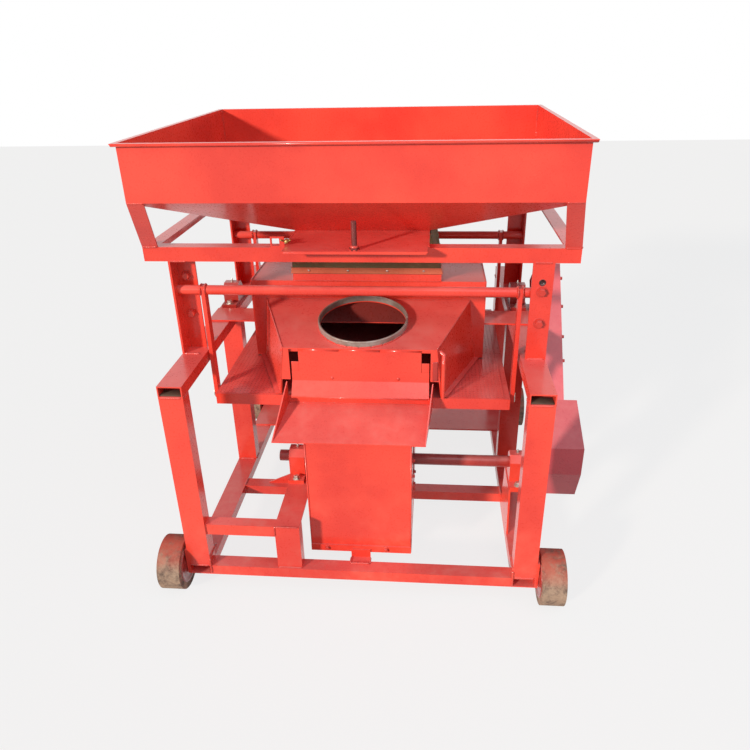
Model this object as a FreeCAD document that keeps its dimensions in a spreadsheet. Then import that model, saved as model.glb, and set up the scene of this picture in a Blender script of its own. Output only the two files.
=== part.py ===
import FreeCAD, Part
import math
import os
import re

# Peanut sheller: a hopper over a beater drum, a hung shaking sieve below it and a fan at the front.
# X runs across the machine, Y from front to back, Z up. Lengths are millimetres.

SIZES = {
    "frame_width": 920.0,
    "frame_depth": 950.0,
    "rail_bottom": 50.0,
    "tube_wide": 60.0,
    "tube_high": 30.0,
    "tube_wall": 3.0,
    "leg_height": 510.0,
    "leg_deep": 40.0,
    "middle_leg_y": 533.0,
    "upright_inset": 185.0,
    "upright_height": 245.0,
    "angle_wide": 50.0,
    "angle_wall": 5.0,
    "ring_width": 1034.0,
    "ring_flange": 35.0,
    "post_flange": 38.0,
    "post_wall": 4.0,
    "hopper_width": 980.0,
    "hopper_depth": 780.0,
    "band_gap": 125.0,
    "band_height": 125.0,
    "rim_wide": 10.0,
    "sheet": 2.0,
    "throat_width": 340.0,
    "throat_depth": 316.0,
    "funnel_wall": 6.0,
    "runner_wall": 4.0,
    "runner_shelf": 18.0,
    "gate_thick": 3.0,
    "gate_reach": 127.0,
    "gate_rod_radius": 6.0,
    "gate_rod_height": 66.0,
    "tab_width": 34.0,
    "tab_height": 26.0,
    "sleeve_wall": 3.0,
    "collar_height": 20.0,
    "collar_width": 406.0,
    "collar_depth": 220.0,
    "drum_front": 405.0,
    "drum_back": 745.0,
    "drum_width": 650.0,
    "drum_top": 745.0,
    "housing_rise": 125.0,
    "plate": 3.0,
    "curtain_z": 622.0,
    "drum_shaft_y": 575.0,
    "bearing_height": 35.0,
    "bearing_wide": 44.0,
    "bearing_wall": 14.0,
    "bearing_foot": 59.5,
    "shaft_radius": 15.0,
    "shaft_free": 45.0,
    "shaft_end_radius": 14.0,
    "hub_wall": 9.0,
    "beater_radius": 76.0,
    "beater_bar": 20.0,
    "concave_radius": 92.0,
    "concave_bar": 8.0,
    "hood_front": 165.0,
    "hood_front_z": 650.0,
    "hood_back_z": 692.0,
    "hood_front_width": 386.0,
    "hood_back_width": 566.0,
    "hood_foot_width": 414.0,
    "hood_strip_z": 562.0,
    "duct_radius": 117.0,
    "duct_wall": 4.0,
    "duct_height": 16.0,
    "hanger_z": 785.0,
    "hanger_radius": 12.0,
    "link_length": 285.0,
    "link_wide": 24.0,
    "link_thick": 10.0,
    "tray_width": 760.0,
    "tray_front": 165.0,
    "tray_back": 800.0,
    "tray_deep": 30.0,
    "tray_top": 516.0,
    "pin_radius": 8.0,
    "slot_length": 90.0,
    "slot_wide": 8.0,
    "slot_pitch_x": 120.0,
    "slot_pitch_y": 62.0,
    "slot_start": 70.0,
    "flap_width": 350.0,
    "flap_neck_width": 310.0,
    "flap_neck_height": 56.0,
    "flap_set_back": 12.0,
    "flap_set_down": 10.0,
    "flap_height": 83.0,
    "flap_fold_out": 28.0,
    "flap_fold_down": 36.0,
    "flap_rod_radius": 5.0,
    "flap_rod_bend": 12.0,
    "handle_x": 210.0,
    "handle_forward": 20.0,
    "handle_drop": 120.0,
    "chute_left": 190.0,
    "chute_right": 186.0,
    "chute_flare": 22.0,
    "chute_taper": 16.0,
    "chute_reach": 120.0,
    "chute_set_down": 21.0,
    "chute_drop": 47.0,
    "chute_wall_height": 61.0,
    "volute_width": 270.0,
    "volute_radius": 190.0,
    "volute_mouth": 100.0,
    "volute_top": 440.0,
    "volute_foot": 95.0,
    "volute_lip": 5.0,
    "volute_lip_height": 20.0,
    "fan_y": 255.0,
    "inlet_radius": 75.0,
    "blade_radius": 138.0,
    "fan_shaft_radius": 16.0,
    "fan_bearing_height": 56.0,
    "fan_bearing_gap": 38.0,
    "bracket_spread": 80.5,
    "cradle_bar_y": 360.0,
    "cradle_post_gap": 17.0,
    "cradle_post_wide": 65.0,
    "cradle_arm_high": 32.0,
    "gusset_high": 85.0,
    "gusset_long": 178.0,
    "saddle_wide": 200.0,
    "saddle_high": 70.0,
    "foot_tab_wide": 52.0,
    "wheel_radius": 72.0,
    "wheel_width": 60.0,
    "axle_radius": 10.0,
    "axle_plate": 6.0,
    "axle_nut": 16.0,
    "pulley_width": 28.0,
    "pulley_set_out": 35.0,
    "drum_pulley_radius": 50.0,
    "fan_pulley_radius": 40.0,
    "belt_thick": 8.0,
    "belt_wide": 13.0,
    "guard_set_out": 18.0,
    "guard_margin": 66.0,
    "guard_narrow": 67.0,
    "guard_broad": 102.0,
    "guard_nose_y": 165.0,
    "guard_nose_top": 374.0,
    "guard_nose_low": 294.0,
    "guard_shoulder_z": 440.0,
    "guard_foot_y": 200.0,
    "guard_foot_z": 205.0,
    "motor_plate_depth": 180.0,
    "motor_hole_radius": 5.5,
    "motor_span_x": 160.0,
    "motor_span_y": 125.0,
    "running": 0.05,
    "seat": 0.3,
    "swing_gap": 4.0,
    "cut_over": 1.0,
}

doc = FreeCAD.newDocument("PeanutSheller")
sheet = doc.addObject("Spreadsheet::Sheet", "Sheet")
for row, (word, number) in enumerate(SIZES.items(), start=1):
    sheet.set("A%d" % row, word)
    sheet.set("B%d" % row, str(number))
    sheet.setAlias("B%d" % row, word)
doc.recompute()


class Size:
    """A length with its value and the spreadsheet expression that gives it."""

    def __init__(self, value, text):
        self.value = float(value)
        self.text = text

    def __add__(self, other):
        other = sized(other)
        return Size(self.value + other.value, "(%s + %s)" % (self.text, other.text))

    def __sub__(self, other):
        other = sized(other)
        return Size(self.value - other.value, "(%s - %s)" % (self.text, other.text))

    def __mul__(self, factor):
        return Size(self.value * factor, "(%s * %s)" % (self.text, factor))

    def __truediv__(self, factor):
        return Size(self.value / factor, "(%s / %s)" % (self.text, factor))

    def __neg__(self):
        return Size(-self.value, "(0 - %s)" % self.text)

    def __radd__(self, other):
        return sized(other) + self

    def __rsub__(self, other):
        return sized(other) - self

    def __rmul__(self, factor):
        return self * factor

    def __float__(self):
        return self.value


def sized(thing):
    if isinstance(thing, Size):
        return thing
    return Size(thing, "(%s)" % thing)


class Sizes:
    """The driving dimensions by name."""

    def __getattr__(self, word):
        return Size(sheet.get(word), "Sheet." + word)


of = Sizes()

# Places worked out from the driving dimensions. The upper heights go with the top rails, by the lift,
# and the fan takes up half of it.
half = of.frame_width / 2
depth = of.frame_depth
rail_in = half - of.tube_wide
low_top = of.rail_bottom + of.tube_high
high_bottom = low_top + of.leg_height
high_top = high_bottom + of.tube_high
over = of.cut_over
ring_bottom = high_top + of.upright_height
ring_top = ring_bottom + of.ring_flange
ring_half = of.ring_width / 2
ring_front = of.upright_inset
ring_back = depth - of.upright_inset
band_bottom = ring_top + of.band_gap
band_top = band_bottom + of.band_height
hopper_half = of.hopper_width / 2
middle = depth / 2
hopper_front = middle - of.hopper_depth / 2
hopper_back = middle + of.hopper_depth / 2
throat_half = of.throat_width / 2
throat_front = middle - of.throat_depth / 2
throat_back = middle + of.throat_depth / 2
gate_bottom = ring_top + of.runner_wall + of.seat
gate_top = gate_bottom + of.gate_thick
throat_z = gate_top + of.seat + of.running
drum_half = of.drum_width / 2
lift = high_top + of.housing_rise - of.drum_top
drum_top = of.drum_top + lift
curtain_z = of.curtain_z + lift
hood_front_z = of.hood_front_z + lift
hood_back_z = of.hood_back_z + lift
hood_strip_z = of.hood_strip_z + lift
hanger_z = of.hanger_z + lift
tray_top = of.tray_top + lift
volute_top = of.volute_top + lift
volute_radius = of.volute_radius + lift / 2
blade_radius = of.blade_radius + lift / 2
fan_y = of.fan_y + lift / 2
housing_bottom = tray_top + of.swing_gap
flap_y = of.hood_front + of.flap_set_back
flap_z = hood_front_z - of.flap_set_down
drum_z = high_top + of.bearing_height
front_hanger_y = of.upright_inset + of.angle_wide / 2
back_hanger_y = depth - front_hanger_y
tray_half = of.tray_width / 2
tray_pin_z = hanger_z - of.link_length
fan_z = low_top + volute_radius + of.seat
fan_seat_z = fan_z - of.fan_bearing_height
volute_half = of.volute_width / 2
bearing_inset = (of.tube_wide - of.bearing_wide) / 2
wheel_in = half + of.axle_plate + of.swing_gap
wheel_out = wheel_in + of.wheel_width
axle_end = wheel_out + of.swing_gap
pulley_in = half + of.pulley_set_out
pulley_mid = pulley_in + of.pulley_width / 2
pulley_out = pulley_in + of.pulley_width
guard_in = half + of.guard_set_out
guard_out = guard_in + of.guard_broad
origin_x = (guard_out - axle_end) / 2
origin_y = middle

CORNER_SHARE = 0.42
AXIS_TURN = {
    "x": FreeCAD.Rotation(FreeCAD.Vector(0, 1, 0), 90),
    "y": FreeCAD.Rotation(FreeCAD.Vector(1, 0, 0), -90),
    "z": FreeCAD.Rotation(),
}
nodes = {}
counter = {}


def fresh(word):
    counter[word] = counter.get(word, 0) + 1
    return "%s_%d" % (word, counter[word])


def bind(thing, prop, size):
    thing.setExpression(prop, sized(size).text)


def put(thing, x, y, z):
    bind(thing, ".Placement.Base.x", sized(x) - origin_x)
    bind(thing, ".Placement.Base.y", sized(y) - origin_y)
    bind(thing, ".Placement.Base.z", z)


def box(x0, x1, y0, y1, z0, z1):
    thing = doc.addObject("Part::Box", fresh("Box"))
    bind(thing, "Length", sized(x1) - x0)
    bind(thing, "Width", sized(y1) - y0)
    bind(thing, "Height", sized(z1) - z0)
    put(thing, x0, y0, z0)
    return thing


def rod(axis, start, end, centre, radius):
    thing = doc.addObject("Part::Cylinder", fresh("Rod"))
    bind(thing, "Radius", radius)
    bind(thing, "Height", sized(end) - start)
    thing.Placement = FreeCAD.Placement(FreeCAD.Vector(), AXIS_TURN[axis])
    spot = list(centre)
    spot.insert("xyz".index(axis), start)
    put(thing, *spot)
    return thing


def hexagon(start, end, centre, radius):
    """A six-sided nut with its axis along X."""
    return nut("x", start, end, centre, radius)


def hexagon_up(start, end, centre, radius):
    """A six-sided nut that stands upright."""
    return nut("z", start, end, centre, radius)


def nut(axis, start, end, centre, radius):
    thing = doc.addObject("Part::Prism", fresh("Nut"))
    thing.Polygon = 6
    bind(thing, "Circumradius", radius)
    bind(thing, "Height", sized(end) - start)
    thing.Placement = FreeCAD.Placement(FreeCAD.Vector(), AXIS_TURN[axis])
    spot_at = list(centre)
    spot_at.insert("xyz".index(axis), start)
    put(thing, *spot_at)
    return thing


def fuse(things):
    if len(things) == 1:
        return things[0]
    joined = doc.addObject("Part::MultiFuse", fresh("Fuse"))
    joined.Shapes = things
    return joined


def cut(base, tools):
    result = doc.addObject("Part::Cut", fresh("Cut"))
    result.Base = base
    result.Tool = fuse(tools)
    return result


def shaped(shape):
    thing = doc.addObject("Part::Feature", fresh("Sheetwork"))
    thing.Shape = shape
    thing.Placement = FreeCAD.Placement(
        FreeCAD.Vector(-float(origin_x), -float(origin_y), 0), FreeCAD.Rotation())
    return thing


def node(name, thing):
    thing.Label = name
    nodes[name] = thing
    return thing


def spot(x, y, z):
    return FreeCAD.Vector(float(x), float(y), float(z))


def outline(points):
    corners = [spot(*point) for point in points]
    return Part.Face(Part.makePolygon(corners + corners[:1]))


def prism(points, along):
    """A solid from corner points in one plane and a vector to the far face."""
    return outline(points).extrude(spot(*along))


def rectangle(half_x, y0, y1, z):
    return [(-half_x, y0, z), (half_x, y0, z), (half_x, y1, z), (-half_x, y1, z)]


def frustum(low, high):
    """A solid with flat sides between two level rectangles, each given as half width, Y, Y and Z."""
    bottom, top = rectangle(*low), rectangle(*high)
    faces = [outline(bottom), outline(top)]
    for index in range(len(bottom)):
        after = (index + 1) % len(bottom)
        faces.append(outline((bottom[index], bottom[after], top[after], top[index])))
    solid = Part.Solid(Part.Shell(faces))
    if solid.Volume < 0:
        solid.reverse()
    return solid


def plane_x(first, second, third, y, z):
    """The X at which the plane through three corners has the given Y and Z."""
    normal = (second - first).cross(third - first)
    return first.x - (normal.y * (y - first.y) + normal.z * (z - first.z)) / normal.x


def bent_rod(points, radius, bend):
    """A round rod along straight stretches, with each corner rounded off in three short steps."""
    stops = [spot(*point) for point in points]
    path = [stops[0]]
    for before, corner, after in zip(stops, stops[1:], stops[2:]):
        back = (before - corner).normalize()
        ahead = (after - corner).normalize()
        half_turn = back.getAngle(ahead) / 2
        reach = bend / math.tan(half_turn)
        step = bend * math.tan((math.pi / 2 - half_turn) / 3)
        enter, leave = corner + back * reach, corner + ahead * reach
        path += [enter - back * step, leave - ahead * step]
    path.append(stops[-1])
    pieces = []
    for index, (start, end) in enumerate(zip(path, path[1:])):
        along = (end - start).normalize()
        lead = radius / 4 if index else 0
        tail = radius / 4 if index < len(path) - 2 else 0
        length = (end - start).Length + lead + tail
        pieces.append(Part.makeCylinder(radius, length, start - along * lead, along))
    return pieces[0].fuse(pieces[1:])


def rails():
    for side, x0 in (("left", -half), ("right", rail_in)):
        for level, z0 in (("lower", of.rail_bottom), ("upper", high_bottom)):
            outer = box(x0, x0 + of.tube_wide, 0, depth, z0, z0 + of.tube_high)
            bore = box(x0 + of.tube_wall, x0 + of.tube_wide - of.tube_wall, -over, depth + over,
                       z0 + of.tube_wall, z0 + of.tube_high - of.tube_wall)
            node("rail_%s_%s" % (level, side), cut(outer, [bore]))


def legs():
    places = (("front", sized(0)), ("middle", of.middle_leg_y - of.leg_deep / 2),
              ("rear", depth - of.leg_deep))
    for side, x0 in (("left", -half), ("right", rail_in)):
        for place, y0 in places:
            outer = box(x0, x0 + of.tube_wide, y0, y0 + of.leg_deep, low_top, high_bottom)
            bore = box(x0 + of.tube_wall, x0 + of.tube_wide - of.tube_wall, y0 + of.tube_wall,
                       y0 + of.leg_deep - of.tube_wall, low_top - over, high_bottom + over)
            node("leg_%s_%s" % (place, side), cut(outer, [bore]))


def cross_bars():
    bar = box(-rail_in, rail_in, 0, of.leg_deep, of.rail_bottom, low_top)
    bore = box(-rail_in - over, rail_in + over, of.tube_wall, of.leg_deep - of.tube_wall,
               of.rail_bottom + of.tube_wall, low_top - of.tube_wall)
    tab_end = fan_y - volute_radius - of.volute_lip - of.seat
    tab_half = of.foot_tab_wide / 2
    shelf = box(-tab_half, tab_half, of.leg_deep - of.tube_wall, tab_end, low_top - of.tube_wall, low_top)
    stop = box(-tab_half, tab_half, tab_end - of.tube_wall, tab_end, low_top - of.tube_wall,
               of.volute_foot + of.volute_lip_height / 2)
    node("cross_bar_front", fuse([cut(bar, [bore]), shelf, stop]))
    plate_back = depth - of.leg_deep
    plate_front = plate_back - of.motor_plate_depth
    plate_middle = (plate_front + plate_back) / 2
    holes = [rod("z", low_top - over, low_top + of.angle_wall + over,
                 (of.motor_span_x / 2 * sx, plate_middle + of.motor_span_y / 2 * sy),
                 of.motor_hole_radius) for sx in (-1, 1) for sy in (-1, 1)]
    plate = box(-half, half, plate_front, plate_back, low_top, low_top + of.angle_wall)
    node("motor_base", cut(plate, holes))


def uprights():
    for side, sign in (("left", -1), ("right", 1)):
        outer0, outer1 = (-half, -half + of.angle_wall) if sign < 0 else (half - of.angle_wall, half)
        wide0, wide1 = (-half, -half + of.angle_wide) if sign < 0 else (half - of.angle_wide, half)
        for place, y0 in (("front", of.upright_inset), ("rear", depth - of.upright_inset - of.angle_wide)):
            y1 = y0 + of.angle_wide
            side_flange = box(outer0, outer1, y0, y1, high_top, ring_bottom)
            forward = side == "right" and place == "front"
            face0 = y0 if forward else y1 - of.angle_wall
            face_flange = box(wide0, wide1, face0, face0 + of.angle_wall, high_top, ring_bottom)
            hanger_y = front_hanger_y if place == "front" else back_hanger_y
            bore = rod("x", outer0 - over, outer1 + over, (hanger_y, hanger_z), of.hanger_radius + of.running)
            node("upright_%s_%s" % (place, side), cut(fuse([side_flange, face_flange]), [bore]))


def funnel_outside():
    return frustum((throat_half, throat_front, throat_back, throat_z),
                   (hopper_half, hopper_front, hopper_back, band_bottom))


def corner_post(sign_x, sign_y):
    """An angle-iron post that leans from the ring's corner to the hopper's lower corner."""
    flange, wall = float(of.post_flange), float(of.post_wall)
    foot_y, head_y = (ring_front, hopper_front) if sign_y < 0 else (ring_back, hopper_back)
    steps = ((0, 0), (flange, 0), (flange, wall), (wall, wall), (wall, flange), (0, flange))
    section = [(sign_x * (ring_half - across), foot_y - sign_y * deep, ring_top) for across, deep in steps]
    lean = (sign_x * (hopper_half - ring_half), head_y - foot_y, band_bottom - ring_top)
    return prism(section, lean).cut(funnel_outside())


def ring():
    flange, wall = of.ring_flange, of.angle_wall
    outside = box(-ring_half, ring_half, ring_front, ring_back, ring_bottom, ring_top)
    inside = box(-ring_half + wall, ring_half - wall, ring_front + wall, ring_back - wall,
                 ring_bottom - over, ring_top - wall)
    window = box(-ring_half + flange, ring_half - flange, ring_front + flange, ring_back - flange,
                 ring_bottom - over, ring_top + over)
    bars = cut(outside, [inside, window])
    posts = [shaped(corner_post(sx, sy)) for sx in (-1, 1) for sy in (-1, 1)]
    node("hopper_ring", fuse([bars] + posts))


def hopper():
    outer = box(-hopper_half, hopper_half, hopper_front, hopper_back, band_bottom, band_top)
    inner = box(-hopper_half + of.sheet, hopper_half - of.sheet, hopper_front + of.sheet,
                hopper_back - of.sheet, band_bottom - over, band_top + over)
    lip = box(-hopper_half - of.rim_wide, hopper_half + of.rim_wide, hopper_front - of.rim_wide,
              hopper_back + of.rim_wide, band_top - of.sheet, band_top)
    node("hopper_band", cut(fuse([outer, lip]), [inner]))
    wall = of.funnel_wall
    hollow = frustum((throat_half - wall, throat_front + wall, throat_back - wall, throat_z),
                     (hopper_half - wall, hopper_front + wall, hopper_back - wall, band_bottom))
    node("hopper_funnel", shaped(funnel_outside().cut(hollow)))


def feed_gate():
    half_plate = throat_half - of.runner_wall
    start = ring_front - of.rim_wide
    for side in ("left", "right"):
        if side == "left":
            wall_span = (-throat_half, -half_plate - of.seat)
            shelf_span = (-throat_half, -throat_half + of.runner_shelf)
        else:
            wall_span = (half_plate + of.seat, throat_half)
            shelf_span = (throat_half - of.runner_shelf, throat_half)
        parts = [box(*wall_span, start, throat_back, ring_top, throat_z),
                 box(*shelf_span, start, throat_back, ring_top, ring_top + of.runner_wall)]
        if side == "left":
            parts.append(clamp_tab())
        node("gate_runner_%s" % side, fuse(parts))
    node("gate_plate", box(-half_plate, half_plate, of.gate_reach, throat_back, gate_bottom, gate_top))
    radius = of.gate_rod_radius
    rod_y = of.gate_reach + of.rim_wide + radius
    stem = rod("z", gate_top, gate_top + of.gate_rod_height, (0, rod_y), radius)
    node("gate_screw", fuse([stem, hexagon_up(gate_top, gate_top + radius, (0, rod_y), radius * 2)]))


def clamp_tab():
    """The upright tab with a window, beside the left runner, that holds the clamp of the gate."""
    wall = of.runner_wall
    out = -throat_half - of.tab_width
    plate = box(out, -throat_half, ring_front, ring_front + wall, ring_top, ring_top + of.tab_height)
    window = box(out + wall, -throat_half - wall * 3, ring_front - over, ring_front + wall + over,
                 ring_top + wall, ring_top + of.tab_height - wall)
    return cut(plate, [window])


def sleeve_and_collar():
    top_z = ring_top - of.seat
    low_z = drum_top + of.collar_height + of.seat
    wall = of.sleeve_wall
    collar_half = of.collar_width / 2
    collar_front = of.drum_front
    collar_back = of.drum_front + of.collar_depth
    skin = frustum((collar_half, collar_front, collar_back, low_z),
                   (throat_half, throat_front, throat_back, top_z))
    hollow = frustum((collar_half - wall, collar_front + wall, collar_back - wall, low_z),
                     (throat_half - wall, throat_front + wall, throat_back - wall, top_z))
    node("feed_sleeve", shaped(skin.cut(hollow)))
    outer = box(-collar_half, collar_half, collar_front, collar_back, drum_top,
                drum_top + of.collar_height)
    inner = box(-collar_half + wall, collar_half - wall, collar_front + wall, collar_back - wall,
                drum_top - over, drum_top + of.collar_height + over)
    node("feed_collar", cut(outer, [inner]))
    return collar_half - wall, collar_front + wall, collar_back - wall


def drum_housing(hole_half, hole_front, hole_back):
    plate = of.plate
    bearing_half = of.bearing_height * 2
    ear_spans = ((of.drum_front + plate, of.drum_shaft_y - bearing_half),
                 (of.drum_shaft_y + bearing_half, of.drum_shaft_y + bearing_half + of.angle_wide))
    for side, sign in (("left", -1), ("right", 1)):
        x0 = -drum_half if sign < 0 else drum_half - plate
        wall = box(x0, x0 + plate, of.drum_front, of.drum_back, housing_bottom, drum_top)
        reach = (-half, -drum_half + plate) if sign < 0 else (drum_half - plate, half)
        ears = [box(*reach, y0, y1, high_top, high_top + of.runner_wall) for y0, y1 in ear_spans]
        hole = rod("x", x0 - over, x0 + plate + over, (of.drum_shaft_y, drum_z),
                   of.shaft_radius + of.swing_gap)
        node("drum_side_%s" % side, cut(fuse([wall] + ears), [hole]))
    inside = drum_half - plate
    top = cut(box(-inside, inside, of.drum_front, of.drum_back, drum_top - plate, drum_top),
              [box(-hole_half, hole_half, hole_front, hole_back, drum_top - plate - over,
                   drum_top + over)])
    back = box(-inside, inside, of.drum_back - plate, of.drum_back, housing_bottom, drum_top)
    front = box(-inside, inside, of.drum_front, of.drum_front + plate, housing_bottom, drum_top)
    face_y = of.drum_front - over
    curtain = float(curtain_z)
    low = float(housing_bottom - over)
    corners = hood_corners()
    inset = 2 * float(plate)
    high_x = plane_x(*corners[:3], face_y.value, curtain) - inset
    low_x = plane_x(*corners[:3], face_y.value, low) - inset
    mouth = prism(((-low_x, face_y, low), (low_x, face_y, low), (high_x, face_y, curtain),
                   (-high_x, face_y, curtain)), (0, plate + 2 * over, 0))
    node("drum_cover", fuse([top, back, cut(front, [shaped(mouth)])]))


def hood_corners():
    """The right-hand corners of the hood: ridge front, ridge back, foot front and foot back."""
    front_y = float(of.hood_front)
    back_y = float(of.drum_front - of.seat)
    low = float(housing_bottom)
    ridge_front = spot(of.hood_front_width / 2, front_y, hood_front_z)
    ridge_back = spot(of.hood_back_width / 2, back_y, hood_back_z)
    foot_front = spot(of.hood_foot_width / 2, front_y, low)
    foot_back = spot(plane_x(ridge_front, ridge_back, foot_front, back_y, low), back_y, low)
    return ridge_front, ridge_back, foot_front, foot_back


def hood():
    """The folded hood in front of the drum, with leaning sides, a front strip each side and a duct."""
    ridge_front, ridge_back, foot_front, foot_back = hood_corners()
    thick = float(of.plate)
    inward = (ridge_back - ridge_front).cross(foot_front - ridge_front).normalize() * thick
    strip_z = float(hood_strip_z)
    strip_in = float(of.flap_width) / 2 + thick
    strip_out = plane_x(ridge_front, ridge_back, foot_front, ridge_front.y, strip_z)
    top = prism([(sign * corner.x, corner.y, corner.z) for sign, corner in
                 ((-1, ridge_front), (1, ridge_front), (1, ridge_back), (-1, ridge_back))], (0, 0, -thick))
    sides = []
    for sign in (-1, 1):
        wall = [(sign * corner.x, corner.y, corner.z)
                for corner in (ridge_front, ridge_back, foot_back, foot_front)]
        sides.append(prism(wall, (sign * inward.x, inward.y, inward.z)))
        strip = [(sign * x, ridge_front.y, z) for x, z in
                 ((strip_in, strip_z), (strip_out, strip_z), (ridge_front.x, ridge_front.z),
                  (strip_in, ridge_front.z))]
        sides.append(prism(strip, (0, thick, 0)))
    room = Part.makeBox(2 * foot_back.x, ridge_back.y - ridge_front.y, ridge_back.z - foot_front.z,
                        FreeCAD.Vector(-foot_back.x, ridge_front.y, foot_front.z))
    slope = math.atan2(ridge_back.z - ridge_front.z, ridge_back.y - ridge_front.y)
    normal = FreeCAD.Vector(0, -math.sin(slope), math.cos(slope))
    centre = (ridge_front + ridge_back) / 2
    centre.x = 0
    inner_radius = float(of.duct_radius - of.duct_wall)
    tall = float(of.duct_height)
    bore = Part.makeCylinder(inner_radius, 2 * tall, centre - normal * tall, normal)
    rod_hole = Part.makeCylinder(float(of.flap_rod_radius + of.running), 2 * foot_back.x,
                                 spot(-foot_back.x, flap_y, flap_z), FreeCAD.Vector(1, 0, 0))
    node("dust_hood", shaped(top.fuse(sides).common(room).cut(bore).cut(rod_hole)))
    base = centre + normal * float(of.seat)
    tube = Part.makeCylinder(float(of.duct_radius), tall, base, normal).cut(
        Part.makeCylinder(inner_radius, tall, base, normal))
    node("duct_ring", shaped(tube))


def flap():
    """The hinged plate over the outlet: a rod bent into a handle, and a notched sheet with a folded foot."""
    radius = float(of.flap_rod_radius)
    rod_end = float(of.hood_front_width / 2 + of.swing_gap * 2)
    handle_x = float(of.handle_x)
    handle_y = flap_y - of.handle_forward
    route = ((-rod_end, flap_y, flap_z), (handle_x, flap_y, flap_z),
             (handle_x, handle_y, flap_z - of.handle_forward), (handle_x, handle_y, flap_z - of.handle_drop))
    node("flap_rod", shaped(bent_rod(route, radius, float(of.flap_rod_bend))))
    thick = float(of.sheet)
    out, down = float(of.flap_fold_out), float(of.flap_fold_down)
    face_y = float(flap_y) - radius - thick
    top, fold_z = float(flap_z), float(flap_z - of.flap_height)
    along_y = thick * math.hypot(out, down) / down
    profile = ((face_y, top), (face_y, fold_z), (face_y - out, fold_z - down),
               (face_y - out + along_y, fold_z - down),
               (face_y + thick, fold_z - (along_y - thick) * down / out), (face_y + thick, top))
    half_flap = float(of.flap_width) / 2
    plate = prism([(-half_flap, y, z) for y, z in profile], (2 * half_flap, 0, 0))
    neck = of.flap_neck_width / 2
    notches = [box(x0, x1, face_y - over, face_y + thick + over, flap_z - of.flap_neck_height, flap_z + over)
               for x0, x1 in ((-half_flap - over, -neck), (neck, half_flap + over))]
    node("flap_plate", cut(shaped(plate), notches))


def hanger(name, axis_y, eye_clearance):
    """A cross rod in the uprights with a link at each end that carries the sieve's pins."""
    parts = [rod("x", -half - of.sheet, half + of.sheet, (axis_y, hanger_z), of.hanger_radius)]
    holes = []
    inner = tray_half + of.swing_gap
    outer = inner + of.link_thick
    wide = of.link_wide / 2
    for x0, x1 in ((-outer, -inner), (inner, outer)):
        parts.append(box(x0, x1, axis_y - wide, axis_y + wide, tray_pin_z - wide, hanger_z + wide))
        holes.append(rod("x", x0 - over, x1 + over, (axis_y, tray_pin_z), of.pin_radius + eye_clearance))
    node(name, cut(fuse(parts), holes))


def tray():
    wall = of.plate
    bottom = tray_top - of.tray_deep
    outer = box(-tray_half, tray_half, of.tray_front, of.tray_back, bottom, tray_top)
    inner = box(-tray_half + wall, tray_half - wall, of.tray_front + wall, of.tray_back - wall,
                bottom - over, tray_top - wall)
    columns = int(drum_half.value * 2 // of.slot_pitch_x.value)
    rows = int((of.tray_back - of.tray_front - of.slot_start).value // of.slot_pitch_y.value)
    slots = []
    for column in range(columns):
        x = (column - (columns - 1) / 2) * of.slot_pitch_x
        for row in range(rows):
            y = of.tray_front + of.slot_start + row * of.slot_pitch_y
            slots.append(box(x - of.slot_length / 2, x + of.slot_length / 2, y, y + of.slot_wide,
                             tray_top - wall - over, tray_top + over))
    pins = []
    end = tray_half + of.swing_gap + of.link_thick + of.swing_gap
    for y in (front_hanger_y, back_hanger_y):
        pins.append(rod("x", tray_half - over, end, (y, tray_pin_z), of.pin_radius))
        pins.append(rod("x", -end, -tray_half + over, (y, tray_pin_z), of.pin_radius))
    node("sieve_tray", fuse([cut(outer, [inner] + slots)] + pins))


def chute():
    """The spout on the front of the sieve, with tall sides that run out to nothing."""
    back, front = of.tray_front, of.tray_front - of.chute_reach
    high = tray_top - of.chute_set_down
    low = high - of.chute_drop
    thick = of.plate
    edges = ((-of.chute_left, -of.chute_left - of.chute_flare),
             (of.chute_right, of.chute_right - of.chute_taper))
    (left_back, left_front), (right_back, right_front) = edges
    floor = prism(((left_back, back, high), (right_back, back, high), (right_front, front, low),
                   (left_front, front, low)), (0, 0, -thick))
    walls = []
    for (back_x, front_x), inward in zip(edges, (thick, -thick)):
        face = ((back_x, back, high - thick), (back_x, back, high + of.chute_wall_height),
                (front_x, front, low), (front_x, front, low - thick))
        walls.append(prism(face, (inward, 0, 0)))
    node("discharge_chute", shaped(floor.fuse(walls)))


def volute():
    """The fan's casing: a drum with a square front corner, a mouth upwards and a lip along its foot."""
    wall = of.sheet
    front = fan_y - volute_radius
    back = front + of.volute_mouth

    def air_path(inset, top):
        wide = volute_half - inset
        return fuse([rod("x", -wide, wide, (fan_y, fan_z), volute_radius - inset),
                     box(-wide, wide, front + inset, back - inset, fan_z, top),
                     box(-wide, wide, front + inset, fan_y, of.volute_foot + inset, fan_z)])

    inlets = rod("x", -volute_half - over, volute_half + over, (fan_y, fan_z), of.inlet_radius)
    lip = box(-volute_half, volute_half, front - of.volute_lip, front, of.volute_foot,
              of.volute_foot + of.volute_lip_height)
    shell = cut(air_path(sized(0), volute_top), [air_path(wall, volute_top + over), inlets])
    node("fan_volute", fuse([shell, lip]))


def fan_rotor():
    radius = of.fan_shaft_radius
    left_end = -volute_half - of.fan_bearing_gap - of.bearing_wide - of.tube_high
    node("fan_shaft", rod("x", left_end, pulley_out + of.swing_gap, (fan_y, fan_z), radius))
    wide = volute_half - radius
    hub = rod("x", -wide, wide, (fan_y, fan_z), radius * 2)
    reach = blade_radius
    thick = of.plate / 2
    blades = [box(-wide, wide, fan_y - reach, fan_y + reach, fan_z - thick, fan_z + thick),
              box(-wide, wide, fan_y - thick, fan_y + thick, fan_z - reach, fan_z + reach)]
    bore = rod("x", -wide - over, wide + over, (fan_y, fan_z), radius + of.running)
    node("fan_impeller", cut(fuse([hub] + blades), [bore]))


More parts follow.
